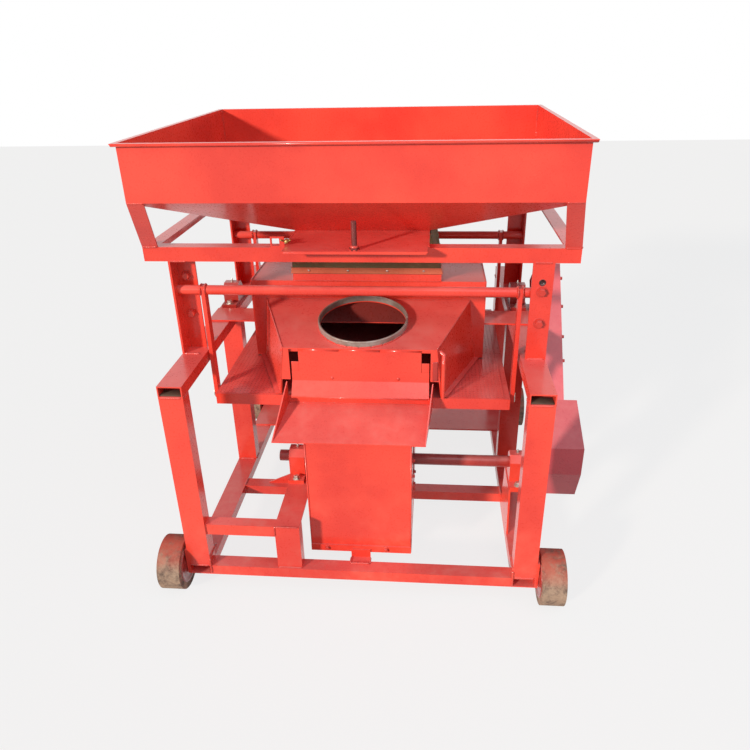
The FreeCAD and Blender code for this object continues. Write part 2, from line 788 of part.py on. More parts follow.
def pulley(name, y, z, radius, bore):
    """A grooved wheel turned from a sketched profile, with a square groove for the belt."""
    body = doc.addObject("PartDesign::Body", name + "_body")
    sketch = body.newObject("Sketcher::SketchObject", name + "_sketch")
    plane = [face for face in body.Origin.OriginFeatures if face.Role == "XY_Plane"][0]
    sketch.AttachmentSupport = [(plane, "")]
    sketch.MapMode = "FlatFace"
    half_width = of.pulley_width.value / 2
    groove_half = of.belt_wide.value / 2
    groove_deep = of.belt_thick.value
    inner = bore.value + of.running.value
    outer = radius.value
    points = ((-half_width, inner), (half_width, inner), (half_width, outer), (groove_half, outer),
              (groove_half, outer - groove_deep), (-groove_half, outer - groove_deep),
              (-groove_half, outer), (-half_width, outer))
    for first, second in zip(points, points[1:] + points[:1]):
        sketch.addGeometry(Part.LineSegment(FreeCAD.Vector(*first, 0), FreeCAD.Vector(*second, 0)), False)
    turned = body.newObject("PartDesign::Revolution", name + "_turned")
    turned.Profile = sketch
    turned.ReferenceAxis = (sketch, ["H_Axis"])
    turned.Angle = 360
    body.Tip = turned
    put(body, pulley_mid, y, z)
    node(name, body)


def bearing(name, x0, x1, y, z, base_z, shaft):
    """A block on a wide foot, with its top corners cut off and a plain bore for the shaft."""
    outer = shaft + of.bearing_wall
    foot_half = of.bearing_foot
    foot = box(x0, x1, y - foot_half, y + foot_half, base_z, base_z + of.rim_wide)
    corner = outer * CORNER_SHARE
    profile = ((x0, y - outer, base_z), (x0, y - outer, z + corner), (x0, y - corner, z + outer),
               (x0, y + corner, z + outer), (x0, y + outer, z + corner), (x0, y + outer, base_z))
    block = shaped(prism(profile, (sized(x1) - x0, 0, 0)))
    bore = rod("x", x0 - over, x1 + over, (y, z), shaft + of.running)
    node(name, cut(fuse([foot, block]), [bore]))


def drum_rotor():
    """The beater drum: four bars carried by three crosses on a hub."""
    shaft = of.shaft_radius
    y, z = of.drum_shaft_y, drum_z
    shoulder = -half - over
    node("drum_shaft", fuse([rod("x", shoulder, pulley_out + of.swing_gap, (y, z), shaft),
                             rod("x", -half - of.shaft_free, shoulder + over, (y, z), of.shaft_end_radius)]))
    reach = drum_half - shaft
    tip = of.beater_radius
    bar = of.beater_bar / 2
    arm = of.plate
    inner = tip - of.beater_bar
    parts = [rod("x", -reach, reach, (y, z), shaft + of.hub_wall)]
    for x in (-reach + shaft, sized(0), reach - shaft):
        parts.append(box(x - arm, x + arm, y - inner - arm, y + inner + arm, z - bar, z + bar))
        parts.append(box(x - arm, x + arm, y - bar, y + bar, z - inner - arm, z + inner + arm))
    for sign in (-1, 1):
        near, far = (inner, tip) if sign > 0 else (-tip, -inner)
        parts.append(box(-reach, reach, y - bar, y + bar, z + near, z + far))
        parts.append(box(-reach, reach, y + near, y + far, z - bar, z + bar))
    bore = rod("x", -reach - over, reach + over, (y, z), shaft + of.running)
    node("drum_beaters", cut(fuse(parts), [bore]))


def concave():
    """Square bars on curved ribs under the beaters, where the shells are rubbed open."""
    reach = drum_half - of.plate - of.seat
    radius = float(of.concave_radius)
    thick = float(of.concave_bar) / 2
    rib_half = float(of.plate)
    first_turn, whole_turn, count = 200, 140, 11
    turns = [math.radians(first_turn + whole_turn * index / (count - 1)) for index in range(count)]

    def around(x, angle, distance, shift=0.0):
        return spot(x, of.drum_shaft_y + distance * math.cos(angle) - shift * math.sin(angle),
                    drum_z + distance * math.sin(angle) + shift * math.cos(angle))

    bars = []
    for angle in turns:
        corners = [around(-reach, angle, radius + deep, across) for deep, across in
                   ((-thick, -thick), (thick, -thick), (thick, thick), (-thick, thick))]
        bars.append(shaped(prism(corners, (2 * reach, 0, 0))))
    for x in (-reach * 0.5, reach * 0.5):
        path = [around(x - rib_half, angle, radius) for angle in turns]
        path += [around(x - rib_half, angle, radius + 3 * thick) for angle in reversed(turns)]
        bars.append(shaped(prism(path, (2 * rib_half, 0, 0))))
    node("drum_concave", fuse(bars))


def fan_cradle():
    """The bar and the folded portal that carry the fan's left bearing, and the bracket for the right one."""
    wall = of.angle_wall
    bar_back = of.cradle_bar_y + of.leg_deep
    bar = box(-rail_in, rail_in, of.cradle_bar_y, bar_back, of.rail_bottom, low_top)
    inner = -volute_half - of.cradle_post_gap
    outer = inner - of.cradle_post_wide
    front = wall
    deck = box(outer, inner, front, bar_back, fan_seat_z - wall, fan_seat_z)
    front_post = box(outer, inner, front, front + wall, low_top, fan_seat_z)
    cheeks = [box(x0, x0 + wall, front, of.leg_deep, low_top, fan_seat_z) for x0 in (outer, inner - wall)]
    rear_post = box(outer, inner, bar_back - wall, bar_back, low_top - over, fan_seat_z)
    arm_end = outer + wall
    arm = [box(-rail_in, arm_end, front, front + wall, fan_seat_z - of.cradle_arm_high, fan_seat_z),
           box(-rail_in, arm_end, front, front + of.cradle_arm_high, fan_seat_z - wall, fan_seat_z)]
    gusset_y = of.cradle_bar_y + of.leg_deep / 2
    gusset = prism(((inner - of.gusset_long, gusset_y, low_top - over), (inner, gusset_y, low_top - over),
                    (inner, gusset_y, low_top + of.gusset_high)), (0, wall, 0))
    saddle_half = of.saddle_wide / 2
    saddle = cut(box(-saddle_half, saddle_half, of.cradle_bar_y, bar_back, low_top - over,
                     low_top + of.saddle_high),
                 [rod("x", -saddle_half - over, saddle_half + over, (fan_y, fan_z),
                      volute_radius + of.seat)])
    node("fan_cradle", fuse([bar, deck, front_post, rear_post, shaped(gusset), saddle] + cheeks + arm))
    bearing_end = -volute_half - of.fan_bearing_gap
    bearing("fan_bearing_left", bearing_end - of.bearing_wide, bearing_end, fan_y, fan_z, fan_seat_z,
            of.fan_shaft_radius)
    shelf_half = of.bearing_foot
    spread = of.bracket_spread
    wedge = prism(((rail_in, fan_y - spread, low_top), (rail_in, fan_y + spread, low_top),
                   (rail_in, fan_y + shelf_half, fan_seat_z), (rail_in, fan_y - shelf_half, fan_seat_z)),
                  (wall, 0, 0))
    shelf = box(rail_in, rail_in + of.bearing_wide + wall, fan_y - shelf_half, fan_y + shelf_half,
                fan_seat_z - wall, fan_seat_z)
    node("fan_bracket", fuse([shaped(wedge), shelf]))
    bearing("fan_bearing_right", rail_in + wall / 2, rail_in + wall / 2 + of.bearing_wide, fan_y, fan_z,
            fan_seat_z, of.fan_shaft_radius)


def wheels():
    """A solid wheel on each corner, on a stub axle that is welded to a plate and ends in a nut."""
    z = of.wheel_radius
    for side, sign in (("left", -1), ("right", 1)):
        def span(near, far):
            return (near, far) if sign > 0 else (-sized(far), -sized(near))
        for place, y in (("front", of.leg_deep / 2), ("rear", depth - of.leg_deep / 2)):
            tyre = rod("x", *span(wheel_in, wheel_out), (y, z), of.wheel_radius)
            bore = rod("x", *span(wheel_in - over, wheel_out + over), (y, z), of.axle_radius + of.running)
            node("wheel_%s_%s" % (place, side), cut(tyre, [bore]))
            plate = box(*span(half, half + of.axle_plate), y - of.leg_deep / 2, y + of.leg_deep / 2,
                        of.rail_bottom, of.rail_bottom + of.leg_deep * 2)
            spindle = rod("x", *span(half + of.axle_plate - over, axle_end), (y, z), of.axle_radius)
            end_nut = hexagon(*span(wheel_out + over, axle_end), (y, z), of.axle_nut)
            node("axle_%s_%s" % (place, side), fuse([plate, spindle, end_nut]))


def belt_drive():
    """The belt between the drum and fan pulleys, and the folded guard over it."""
    drum = (float(of.drum_shaft_y), float(drum_z))
    fan = (float(fan_y), float(fan_z))
    run = math.hypot(drum[0] - fan[0], drum[1] - fan[1])
    along = ((fan[0] - drum[0]) / run, (fan[1] - drum[1]) / run)
    ahead = (along[1], -along[0])

    def loop(extra, x0, x1):
        """A flat-sided loop round both pulleys, larger than them by the given amount."""
        big = float(of.drum_pulley_radius) - float(of.belt_thick) + extra
        small = float(of.fan_pulley_radius) - float(of.belt_thick) + extra
        lean = (big - small) / run
        edge = math.sqrt(1 - lean * lean)
        length = spot(x1 - x0, 0, 0)
        x_axis = FreeCAD.Vector(1, 0, 0)
        solid_loop = Part.makeCylinder(big, x1 - x0, spot(x0, *drum), x_axis).fuse(
            Part.makeCylinder(small, x1 - x0, spot(x0, *fan), x_axis))
        corners = []
        for centre, radius, sign in ((drum, big, 1), (fan, small, 1), (fan, small, -1), (drum, big, -1)):
            corners.append((x0, centre[0] + radius * (along[0] * lean + sign * ahead[0] * edge),
                            centre[1] + radius * (along[1] * lean + sign * ahead[1] * edge)))
        return solid_loop.fuse(prism(corners, length))

    middle_x = float(pulley_mid)
    belt_half = float(of.belt_wide) / 2 - float(of.seat)
    gap = float(of.seat)
    thick = float(of.belt_thick)
    belt = loop(thick, middle_x - belt_half, middle_x + belt_half).cut(
        loop(gap, middle_x - belt_half - over.value, middle_x + belt_half + over.value))
    node("drive_belt", shaped(belt))

    margin = float(of.guard_margin)
    wall = float(of.sheet)
    x_in = float(guard_in)
    x_narrow = x_in + float(of.guard_narrow)
    x_broad = float(guard_out)

    def edge_point(place, sign):
        """A point on the guard's front (1) or back (-1) edge, that far down the belt's run."""
        return (drum[0] + along[0] * place + ahead[0] * margin * sign,
                drum[1] + along[1] * place + ahead[1] * margin * sign)

    def edge_at_height(z, sign):
        return edge_point((drum[1] + ahead[1] * margin * sign - z) / -along[1], sign)

    upper = [edge_point(-margin, 1), edge_point(run, 1), edge_point(run, -1), edge_point(-margin, -1)]
    shoulder = float(of.guard_shoulder_z + lift / 2)
    foot_z = float(of.guard_foot_z + lift / 2)
    turn = edge_at_height(shoulder, 1)
    across = (turn[0] - 2 * ahead[0] * margin, turn[1] - 2 * ahead[1] * margin)
    lower = [turn, (of.guard_nose_y, of.guard_nose_top + lift / 2),
             (of.guard_nose_y, of.guard_nose_low + lift / 2),
             (of.guard_foot_y, foot_z), edge_at_height(foot_z, -1), across]

    def folded(points, x_end):
        """A tray of sheet with that outline, open towards the frame: its skin and its hollow."""
        base = outline([(x_in, y, z) for y, z in points])
        inside = base.makeOffset2D(-wall, 2)
        inside.translate(spot(-over, 0, 0))
        hollow = inside.extrude(spot(x_end - wall - x_in + over.value, 0, 0))
        return base.extrude(spot(x_end - x_in, 0, 0)), hollow

    upper_skin, upper_hollow = folded(upper, x_narrow)
    lower_skin, lower_hollow = folded(lower, x_broad)
    guard = upper_skin.fuse(lower_skin).cut(upper_hollow.fuse(lower_hollow))
    strap_z = float(high_bottom + of.rim_wide)
    strap_front, strap_back = edge_at_height(strap_z, 1)[0] + wall, edge_at_height(strap_z, -1)[0] - wall
    strap = prism(((half, strap_front, strap_z), (x_in + 2 * wall, strap_front, strap_z),
                   (x_in + 2 * wall, strap_back, strap_z), (half, strap_back, strap_z)),
                  (0, 0, of.axle_plate))
    node("belt_guard", shaped(guard.fuse(strap)))


rails()
legs()
cross_bars()
uprights()
ring()
hopper()
feed_gate()
drum_housing(*sleeve_and_collar())
hood()
flap()
hanger("hanger_front", front_hanger_y, of.running)
hanger("hanger_rear", back_hanger_y, 2 * of.seat)
tray()
chute()
volute()
fan_rotor()
pulley("fan_pulley", fan_y, fan_z, of.fan_pulley_radius, of.fan_shaft_radius)
pulley("drum_pulley", of.drum_shaft_y, drum_z, of.drum_pulley_radius, of.shaft_radius)
bearing("drum_bearing_left", -half + bearing_inset, -half + bearing_inset + of.bearing_wide,
        of.drum_shaft_y, drum_z, high_top, of.shaft_radius)
bearing("drum_bearing_right", half - bearing_inset - of.bearing_wide, half - bearing_inset,
        of.drum_shaft_y, drum_z, high_top, of.shaft_radius)
drum_rotor()
concave()
fan_cradle()
wheels()
belt_drive()

doc.recompute()
for thing in doc.Objects:
    if "Invalid" in thing.State or "Error" in thing.State:
        raise RuntimeError("%s failed: %s" % (thing.Name, thing.State))
for name, thing in nodes.items():
    if thing.Shape.isNull() or not thing.Shape.isValid() or not thing.Shape.Solids:
        raise RuntimeError("%s has no valid shape" % name)

os.makedirs("parts", exist_ok=True)
for name, thing in nodes.items():
    thing.Shape.exportStep("parts/%s.step" % name)
print("%d nodes" % len(nodes))
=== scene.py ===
import bmesh
import bpy
import math
import random
from mathutils import Matrix, Vector


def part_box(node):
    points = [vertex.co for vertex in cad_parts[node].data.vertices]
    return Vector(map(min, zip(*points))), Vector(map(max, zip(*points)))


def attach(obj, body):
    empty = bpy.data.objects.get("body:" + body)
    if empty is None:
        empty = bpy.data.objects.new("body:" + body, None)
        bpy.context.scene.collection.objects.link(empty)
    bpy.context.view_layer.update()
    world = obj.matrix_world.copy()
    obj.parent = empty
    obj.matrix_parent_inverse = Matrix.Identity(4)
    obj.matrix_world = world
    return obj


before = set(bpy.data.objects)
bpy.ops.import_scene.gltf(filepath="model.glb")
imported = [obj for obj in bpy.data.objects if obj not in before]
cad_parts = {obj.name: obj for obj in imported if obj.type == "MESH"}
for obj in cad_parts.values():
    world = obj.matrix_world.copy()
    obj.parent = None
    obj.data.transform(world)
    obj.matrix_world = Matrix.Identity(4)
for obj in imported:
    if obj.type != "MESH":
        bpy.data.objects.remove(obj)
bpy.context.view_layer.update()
random.seed(7)


def lowest(node):
    return Vector(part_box(node)[0])


def highest(node):
    return Vector(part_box(node)[1])


def centre(node):
    return (lowest(node) + highest(node)) / 2


def corners_of(node):
    return lowest(node), highest(node)


MIDDLE_X = centre("hopper_band").x
FRONT_Y = lowest("cross_bar_front").y
SIDES = ("left", "right")
ENDS = ("front", "rear")


def at(x, y, z):
    """A place in metres from the machine's middle, its front and the ground."""
    return Vector((MIDDLE_X + x, FRONT_Y + y, z))


def mirrored(point, sign):
    """The same place, or its mirror image on the machine's left."""
    return Vector((MIDDLE_X + sign * (point.x - MIDDLE_X), point.y, point.z))


# The right-hand corners of the dust hood, and the drum housing behind it

RIDGE_FRONT, RIDGE_BACK = at(0.193, 0.165, 0.650), at(0.283, 0.4047, 0.692)
HOOD_FOOT_FRONT, HOOD_FOOT_BACK = at(0.207, 0.165, 0.520), at(0.3015, 0.4047, 0.520)
HOOD_SLOPE = math.atan2(RIDGE_BACK.z - RIDGE_FRONT.z, RIDGE_BACK.y - RIDGE_FRONT.y)
HOOD_FRONT, HOUSING_HALF, HOUSING_FRONT, HOUSING_BACK = 0.165, 0.325, 0.405, 0.745

# The sleeve's strap, from and up to which share of the sleeve's height

SLEEVE_STRAP = (0.015, 0.17)

# Radii of the weld beads

TAB_BEAD, FRAME_BEAD, TOP_BEAD, PLATE_BEAD, CORNER_BEAD = 0.0040, 0.0032, 0.0030, 0.0028, 0.0026
ROUND_BEAD, SHEET_BEAD, CHUTE_BEAD, SCREW_BEAD, FOLD_BEAD = 0.0024, 0.0022, 0.0020, 0.0018, 0.0016


# Shader maths on sockets

class Value:
    """A node's output that can be used in ordinary sums."""

    def __init__(self, recipe, socket):
        self.recipe = recipe
        self.socket = socket

    def sum(self, operation, first, second):
        return self.recipe.node("ShaderNodeMath", {"operation": operation}, {0: first, 1: second})

    def __add__(self, other):
        return self.sum("ADD", self, other)

    def __radd__(self, other):
        return self.sum("ADD", other, self)

    def __sub__(self, other):
        return self.sum("SUBTRACT", self, other)

    def __rsub__(self, other):
        return self.sum("SUBTRACT", other, self)

    def __mul__(self, other):
        return self.sum("MULTIPLY", self, other)

    def __rmul__(self, other):
        return self.sum("MULTIPLY", other, self)

    def __truediv__(self, other):
        return self.sum("DIVIDE", self, other)

    def __pow__(self, other):
        return self.sum("POWER", self, other)


class Recipe:
    """A material or a world under construction, with one method that makes any node."""

    def __init__(self, name, world=False):
        self.material = (bpy.data.worlds if world else bpy.data.materials).new(name)
        self.material.use_nodes = True
        self.tree = self.material.node_tree
        self.shader = self.tree.nodes["Background" if world else "Principled BSDF"]
        self.end = self.tree.nodes["World Output" if world else "Material Output"]

    def node(self, kind, settings=None, inputs=None, output=0):
        made = self.tree.nodes.new(kind)
        for key, setting in (settings or {}).items():
            if key == "stops":
                ramp = made.color_ramp
                while len(ramp.elements) < len(setting):
                    ramp.elements.new(0.5)
                for element, (place, colour) in zip(ramp.elements, setting):
                    element.position = place
                    element.color = (*colour, 1) if len(colour) == 3 else colour
            else:
                setattr(made, key, setting)
        for key, given in (inputs or {}).items():
            self.feed(made.inputs[key], given)
        return Value(self, made.outputs[output])

    def feed(self, socket, given):
        if isinstance(given, Value):
            self.tree.links.new(given.socket, socket)
        else:
            socket.default_value = given

    def set(self, **given):
        for key, thing in given.items():
            self.feed(self.shader.inputs[key.replace("_", " ")], thing)

    def place(self):
        return self.node("ShaderNodeTexCoord", output=3)

    def noise(self, scale, detail=4.0, rough=0.6, stretch=None):
        spot = self.place()
        if stretch:
            spot = self.node("ShaderNodeMapping", {}, {"Vector": spot, "Scale": stretch})
        return self.node("ShaderNodeTexNoise", {}, {
            "Vector": spot, "Scale": scale, "Detail": detail, "Roughness": rough})

    def between(self, value, low, high):
        """Zero below low, one above high, smooth between."""
        return self.node("ShaderNodeMapRange", {"interpolation_type": "SMOOTHSTEP"}, {
            "Value": value, "From Min": low, "From Max": high})

    def mix(self, factor, first, second):
        first, second = (given if isinstance(given, Value) else (*given, 1)
                         for given in (first, second))
        return self.node("ShaderNodeMix", {"data_type": "RGBA"}, {
            "Factor": factor, 6: first, 7: second}, output=2)

    def bump(self, height, strength, distance):
        return self.node("ShaderNodeBump", {}, {
            "Strength": strength, "Distance": distance, "Height": height})

    def height_up(self):
        """The height above the ground of each point, in metres."""
        return self.node("ShaderNodeSeparateXYZ", {}, {0: self.place()}, output=2)

    def facing_up(self):
        normal = self.node("ShaderNodeNewGeometry", output=1)
        return self.node("ShaderNodeSeparateXYZ", {}, {0: normal}, output=2)

    def seen(self):
        """One for rays from the camera and for rays that mirrors or glass send on."""
        camera, glossy, through = (self.node("ShaderNodeLightPath", output=name) for name in (
            "Is Camera Ray", "Is Glossy Ray", "Is Transmission Ray"))
        return camera + glossy + through

    def show_white(self, factor, kind):
        """Mixes plain white, at strength 1, over the shader and sends it to the output."""
        white = self.node(kind, {}, {"Color": (1, 1, 1, 1), "Strength": 1.0})
        blend = self.node("ShaderNodeMixShader", {}, {
            0: factor, 1: Value(self, self.shader.outputs[0]), 2: white})
        self.feed(self.end.inputs[0], blend)


# The middle colour is a painted sheen: the sky's pale pink reflection on faces that look up.
DUST, DUST_FILM_AND_SKY_SHEEN, BARE_SPOT = (0.46, 0.33, 0.24), (0.88, 0.40, 0.40), (0.16, 0.09, 0.07)
RUST, OIL_STAIN = (0.22, 0.085, 0.035), (0.34, 0.2, 0.1)
DARK_WEAVE, SLUB = (0.05, 0.055, 0.025), (0.36, 0.35, 0.19)
OVERSPRAY = (0.50, 0.075, 0.045)


def enamel(name, bright, deep, dusty=0.3, spatter=0.5):
    """Sprayed gloss enamel with thin spots, runs, spatter under the paint, dust on top, and a
    painted sheen of the sky on faces that look up.
    """
    r = Recipe(name)
    cloud = r.noise(3.5, 5)
    fleck = r.noise(160, 3, 0.7)
    runs = r.noise(9, 4, 0.6, stretch=(1, 1, 0.18))
    colour = r.mix(r.between(cloud, 0.35, 0.68), deep, bright)
    colour = r.mix(r.between(runs, 0.58, 0.75) * 0.25, colour, tuple(c * 0.72 for c in bright))
    low = 1 - r.between(r.height_up(), 0.05, 0.4)
    dust = r.between(r.noise(14, 6, 0.75), 0.42, 0.78)
    upward = r.between(r.facing_up(), 0.3, 0.95)
    dust_mask = (upward * 0.45 + low * 0.5) * dust * dusty
    colour = r.mix(dust_mask, colour, DUST)
    # Painted sky sheen on faces that look up, a little stronger where dust lies.
    colour = r.mix(upward * (0.17 + dust * 0.08), colour, DUST_FILM_AND_SKY_SHEEN)
    chips = r.between(r.noise(48, 6, 0.82), 0.735, 0.755)
    colour = r.mix(chips * 0.8, colour, BARE_SPOT)
    rough = 0.24 + fleck * 0.08 + dust_mask * 0.5 + chips * 0.3
    skin = r.noise(70, 4, 0.6) * 0.5 + r.between(fleck, 0.66, 0.8) * spatter - chips * 0.6
    r.set(Base_Color=colour, Roughness=rough, Normal=r.bump(skin, 0.22, 0.0012))
    r.shader.inputs["Coat Weight"].default_value = 0.25
    r.shader.inputs["Coat Roughness"].default_value = 0.12
    r.shader.inputs["Specular IOR Level"].default_value = 0.35
    return r.material


def worn_steel(name, pale, brown, rust=0.35, rough=0.42, metal=0.85):
    """Bare steel with drawn lines, oil stains and spots of rust."""
    r = Recipe(name)
    cloud = r.noise(11, 6, 0.7)
    lines = r.noise(60, 3, 0.5, stretch=(0.05, 1, 1))
    colour = r.mix(r.between(cloud, 0.4, 0.62), pale, brown)
    spots = r.between(r.noise(38, 7, 0.8), 0.6 - rust * 0.1, 0.72)
    colour = r.mix(spots * rust, colour, RUST)
    colour = r.mix(r.between(lines, 0.5, 0.72) * 0.25, colour, tuple(c * 0.6 for c in pale))
    metallic = metal - spots * 0.6 if metal else 0.0
    r.set(Base_Color=colour, Roughness=rough + cloud * 0.2 + spots * 0.25, Metallic=metallic,
          Normal=r.bump(lines * 0.4 + spots * 0.6, 0.25, 0.0006))
    return r.material


def zinc():
    r = Recipe("zinc_fastener")
    cloud = r.noise(90, 4, 0.6)
    colour = r.mix(r.between(cloud, 0.4, 0.65), (0.52, 0.50, 0.45), (0.68, 0.66, 0.60))
    stain = r.between(r.noise(60, 6, 0.8), 0.55, 0.72)
    r.set(Base_Color=r.mix(stain * 0.5, colour, OIL_STAIN), Roughness=0.36 + cloud * 0.2,
          Metallic=0.9 - stain * 0.4, Normal=r.bump(cloud, 0.2, 0.0003))
    return r.material


def canvas():
    """Plain-woven olive cotton with slubs and faded folds, its tones lifted above the cloth's own
    as painted light.
    """
    r = Recipe("olive_canvas")
    across = r.node("ShaderNodeTexWave", {"wave_type": "BANDS", "bands_direction": "X"}, {
        "Vector": r.place(), "Scale": 260.0, "Distortion": 1.2, "Detail": 2.0}, output=1)
    down = r.node("ShaderNodeTexWave", {"wave_type": "BANDS", "bands_direction": "Z"}, {
        "Vector": r.place(), "Scale": 260.0, "Distortion": 1.2, "Detail": 2.0}, output=1)
    slub = r.noise(40, 5, 0.7)
    fade = r.noise(6, 4)
    # Both olive tones are lifted above the cloth's own colour: painted light.
    colour = r.mix(r.between(fade, 0.35, 0.7), (0.16, 0.185, 0.075), (0.27, 0.295, 0.13))
    colour = r.mix(r.between(slub, 0.5, 0.7) * 0.5, colour, SLUB)
    weave = across * 0.5 + down * 0.5
    colour = r.mix(weave * 0.3, colour, DARK_WEAVE)
    r.set(Base_Color=colour, Roughness=0.86 + slub * 0.1, Normal=r.bump(weave + slub, 0.5, 0.0008))
    r.shader.inputs["Sheen Weight"].default_value = 0.2
    return r.material


def dusty_tyre():
    """Rubber caked in sandy dust, with red overspray on its upper part."""
    r = Recipe("dusty_tyre")
    cake = r.noise(18, 7, 0.75)
    fine = r.noise(120, 4, 0.7)
    colour = r.mix(r.between(cake, 0.36, 0.6), (0.09, 0.055, 0.042), (0.36, 0.235, 0.16))
    colour = r.mix(r.between(fine, 0.5, 0.72) * 0.5, colour, DUST)
    spray = r.between(r.height_up(), 0.085, 0.15) * r.between(r.noise(25, 5, 0.7), 0.28, 0.58)
    colour = r.mix(spray * 0.9, colour, OVERSPRAY)
    r.set(Base_Color=colour, Roughness=0.78 + fine * 0.18,
          Normal=r.bump(cake + fine * 0.5, 0.6, 0.002))
    return r.material


def plain_rubber():
    r = Recipe("belt_rubber")
    grain = r.noise(150, 4, 0.7)
    worn = r.noise(20, 5, 0.7)
    r.set(Base_Color=r.mix(r.between(worn, 0.45, 0.7), (0.02, 0.02, 0.02), (0.075, 0.065, 0.055)),
          Roughness=0.62 + grain * 0.2, Normal=r.bump(grain, 0.4, 0.0005))
    return r.material


def brass():
    r = Recipe("tarnished_brass")
    cloud = r.noise(80, 5, 0.7)
    r.set(Base_Color=r.mix(r.between(cloud, 0.4, 0.65), (0.62, 0.42, 0.14), (0.33, 0.22, 0.09)),
          Roughness=0.34 + cloud * 0.25, Metallic=0.95 - cloud * 0.1,
          Normal=r.bump(cloud, 0.2, 0.0003))
    return r.material


RED = enamel("red_enamel", (0.86, 0.066, 0.036), (0.68, 0.040, 0.024))
INNER_RED = enamel("hopper_enamel", (0.86, 0.070, 0.040), (0.70, 0.045, 0.028), dusty=0.35)
# Dark enamel for cast parts, also used as painted shade on the drum's bearings.
DARK_RED = enamel("cast_enamel_and_shade", (0.46, 0.034, 0.024), (0.24, 0.020, 0.016),
                  dusty=0.5, spatter=0.9)
WELD_RED = enamel("weld_enamel", (0.76, 0.055, 0.030), (0.52, 0.032, 0.020), spatter=1.0)
STEEL = worn_steel("worn_steel", (0.50, 0.47, 0.43), (0.33, 0.28, 0.23))
COLLAR_STEEL = worn_steel("collar_steel", (0.42, 0.36, 0.32), (0.27, 0.19, 0.15),
                          rust=0.6, rough=0.5, metal=0.6)
ZINC = zinc()
CANVAS = canvas()
TYRE = dusty_tyre()
BELT = plain_rubber()
BRASS = brass()
SHADOW = enamel("spare_hole_shade", (0.05, 0.012, 0.010), (0.03, 0.008, 0.007), dusty=0.1)
# Husk dust on the concave, and the dark sheet under the sieve's holes, which is painted shade.
HUSK_AND_HOLE_SHADE = enamel("husk_dust_and_hole_shade", (0.52, 0.042, 0.032), (0.36, 0.030, 0.024), dusty=0.4)
# Dark enamel on the gate's screw, and the painted shade of the patch inside the hood.
DARK_ENAMEL_AND_SHADE = enamel("dark_enamel_and_shade", (0.20, 0.026, 0.020), (0.12, 0.015, 0.013), dusty=0.2)
# A darker, pinker copy of the red for the belt guard: partly its own pinker paint, partly painted
# shade.
GUARD_RED = enamel("guard_enamel_and_shade", (0.62, 0.070, 0.085), (0.48, 0.048, 0.060), spatter=0.7)
# The strap's tan is lifted well above its own colour: painted light.
STRAP = enamel("strap_enamel_painted_light", (0.82, 0.30, 0.17), (0.62, 0.17, 0.09), dusty=0.5)
SOIL = worn_steel("packed_soil", (0.10, 0.060, 0.036), (0.05, 0.030, 0.020),
                  rust=0.3, rough=0.8, metal=0.0)

PLAIN_FINISHES = {
    "drum_shaft": STEEL, "fan_shaft": DARK_RED, "gate_screw": DARK_ENAMEL_AND_SHADE, "drum_concave": HUSK_AND_HOLE_SHADE,
    "belt_guard": GUARD_RED,
    "duct_ring": COLLAR_STEEL, "gate_plate": RED, "drum_pulley": DARK_RED, "fan_pulley": DARK_RED,
    "drum_beaters": DARK_RED, "feed_sleeve": CANVAS, "drive_belt": BELT,
    "hopper_funnel": INNER_RED, "hopper_band": INNER_RED,
}


def rounded(thing, width=0.0008, segments=2):
    rounding = thing.modifiers.new("rounded_edges", "BEVEL")
    rounding.width = width
    rounding.segments = segments
    rounding.limit_method = "ANGLE"
    rounding.angle_limit = math.radians(38)
    return thing


def dress_frame():
    """Gives every node its finish and a small rounding of its sharp edges."""
    sheet_edge, tyre_edge = 0.0011, 0.006
    for name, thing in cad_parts.items():
        finish = PLAIN_FINISHES.get(name, RED)
        if name.startswith("wheel_"):
            finish = TYRE
        # The drum's bearings take the dark enamel as painted shade; the fan's take the plain red.
        if "bearing" in name:
            finish = RED if name.startswith("fan") else DARK_RED
        thing.data.materials.clear()
        thing.data.materials.append(finish)
        if finish is TYRE:
            rounded(thing, tyre_edge, 3)
        else:
            rounded(thing, sheet_edge)


# Mesh making

def piece(name, shape, body, finish, smooth=True):
    mesh = bpy.data.meshes.new(name)
    shape.to_mesh(mesh)
    shape.free()
    thing = bpy.data.objects.new(name, mesh)
    bpy.context.scene.collection.objects.link(thing)
    mesh.materials.append(finish)
    for face in mesh.polygons:
        face.use_smooth = smooth
    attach(thing, body)
    return thing


def thicken(thing, name, thickness):
    """Gives a sheet its thickness on the side away from its normals."""
    solid = thing.modifiers.new(name, "SOLIDIFY")
    solid.thickness = thickness
    solid.offset = -1


def bridge(shape, low, high):
    """Joins two closed rings of as many points with a band of faces."""
    for i in range(len(low)):
        j = (i + 1) % len(low)
        shape.faces.new((low[i], low[j], high[j], high[i]))


def ring_round(shape, middle, side, up, radius, sides):
    return [shape.verts.new(middle + side * radius * math.cos(math.tau * i / sides)
                            + up * radius * math.sin(math.tau * i / sides)) for i in range(sides)]


def closed_bar(shape, rings):
    """Joins rings one after the other and closes both ends."""
    for low, high in zip(rings, rings[1:]):
        bridge(shape, low, high)
    shape.faces.new(rings[0][::-1])
    shape.faces.new(rings[-1])


def turn_to(axis):
    return Vector((0, 0, 1)).rotation_difference(Vector(axis).normalized()).to_matrix().to_4x4()


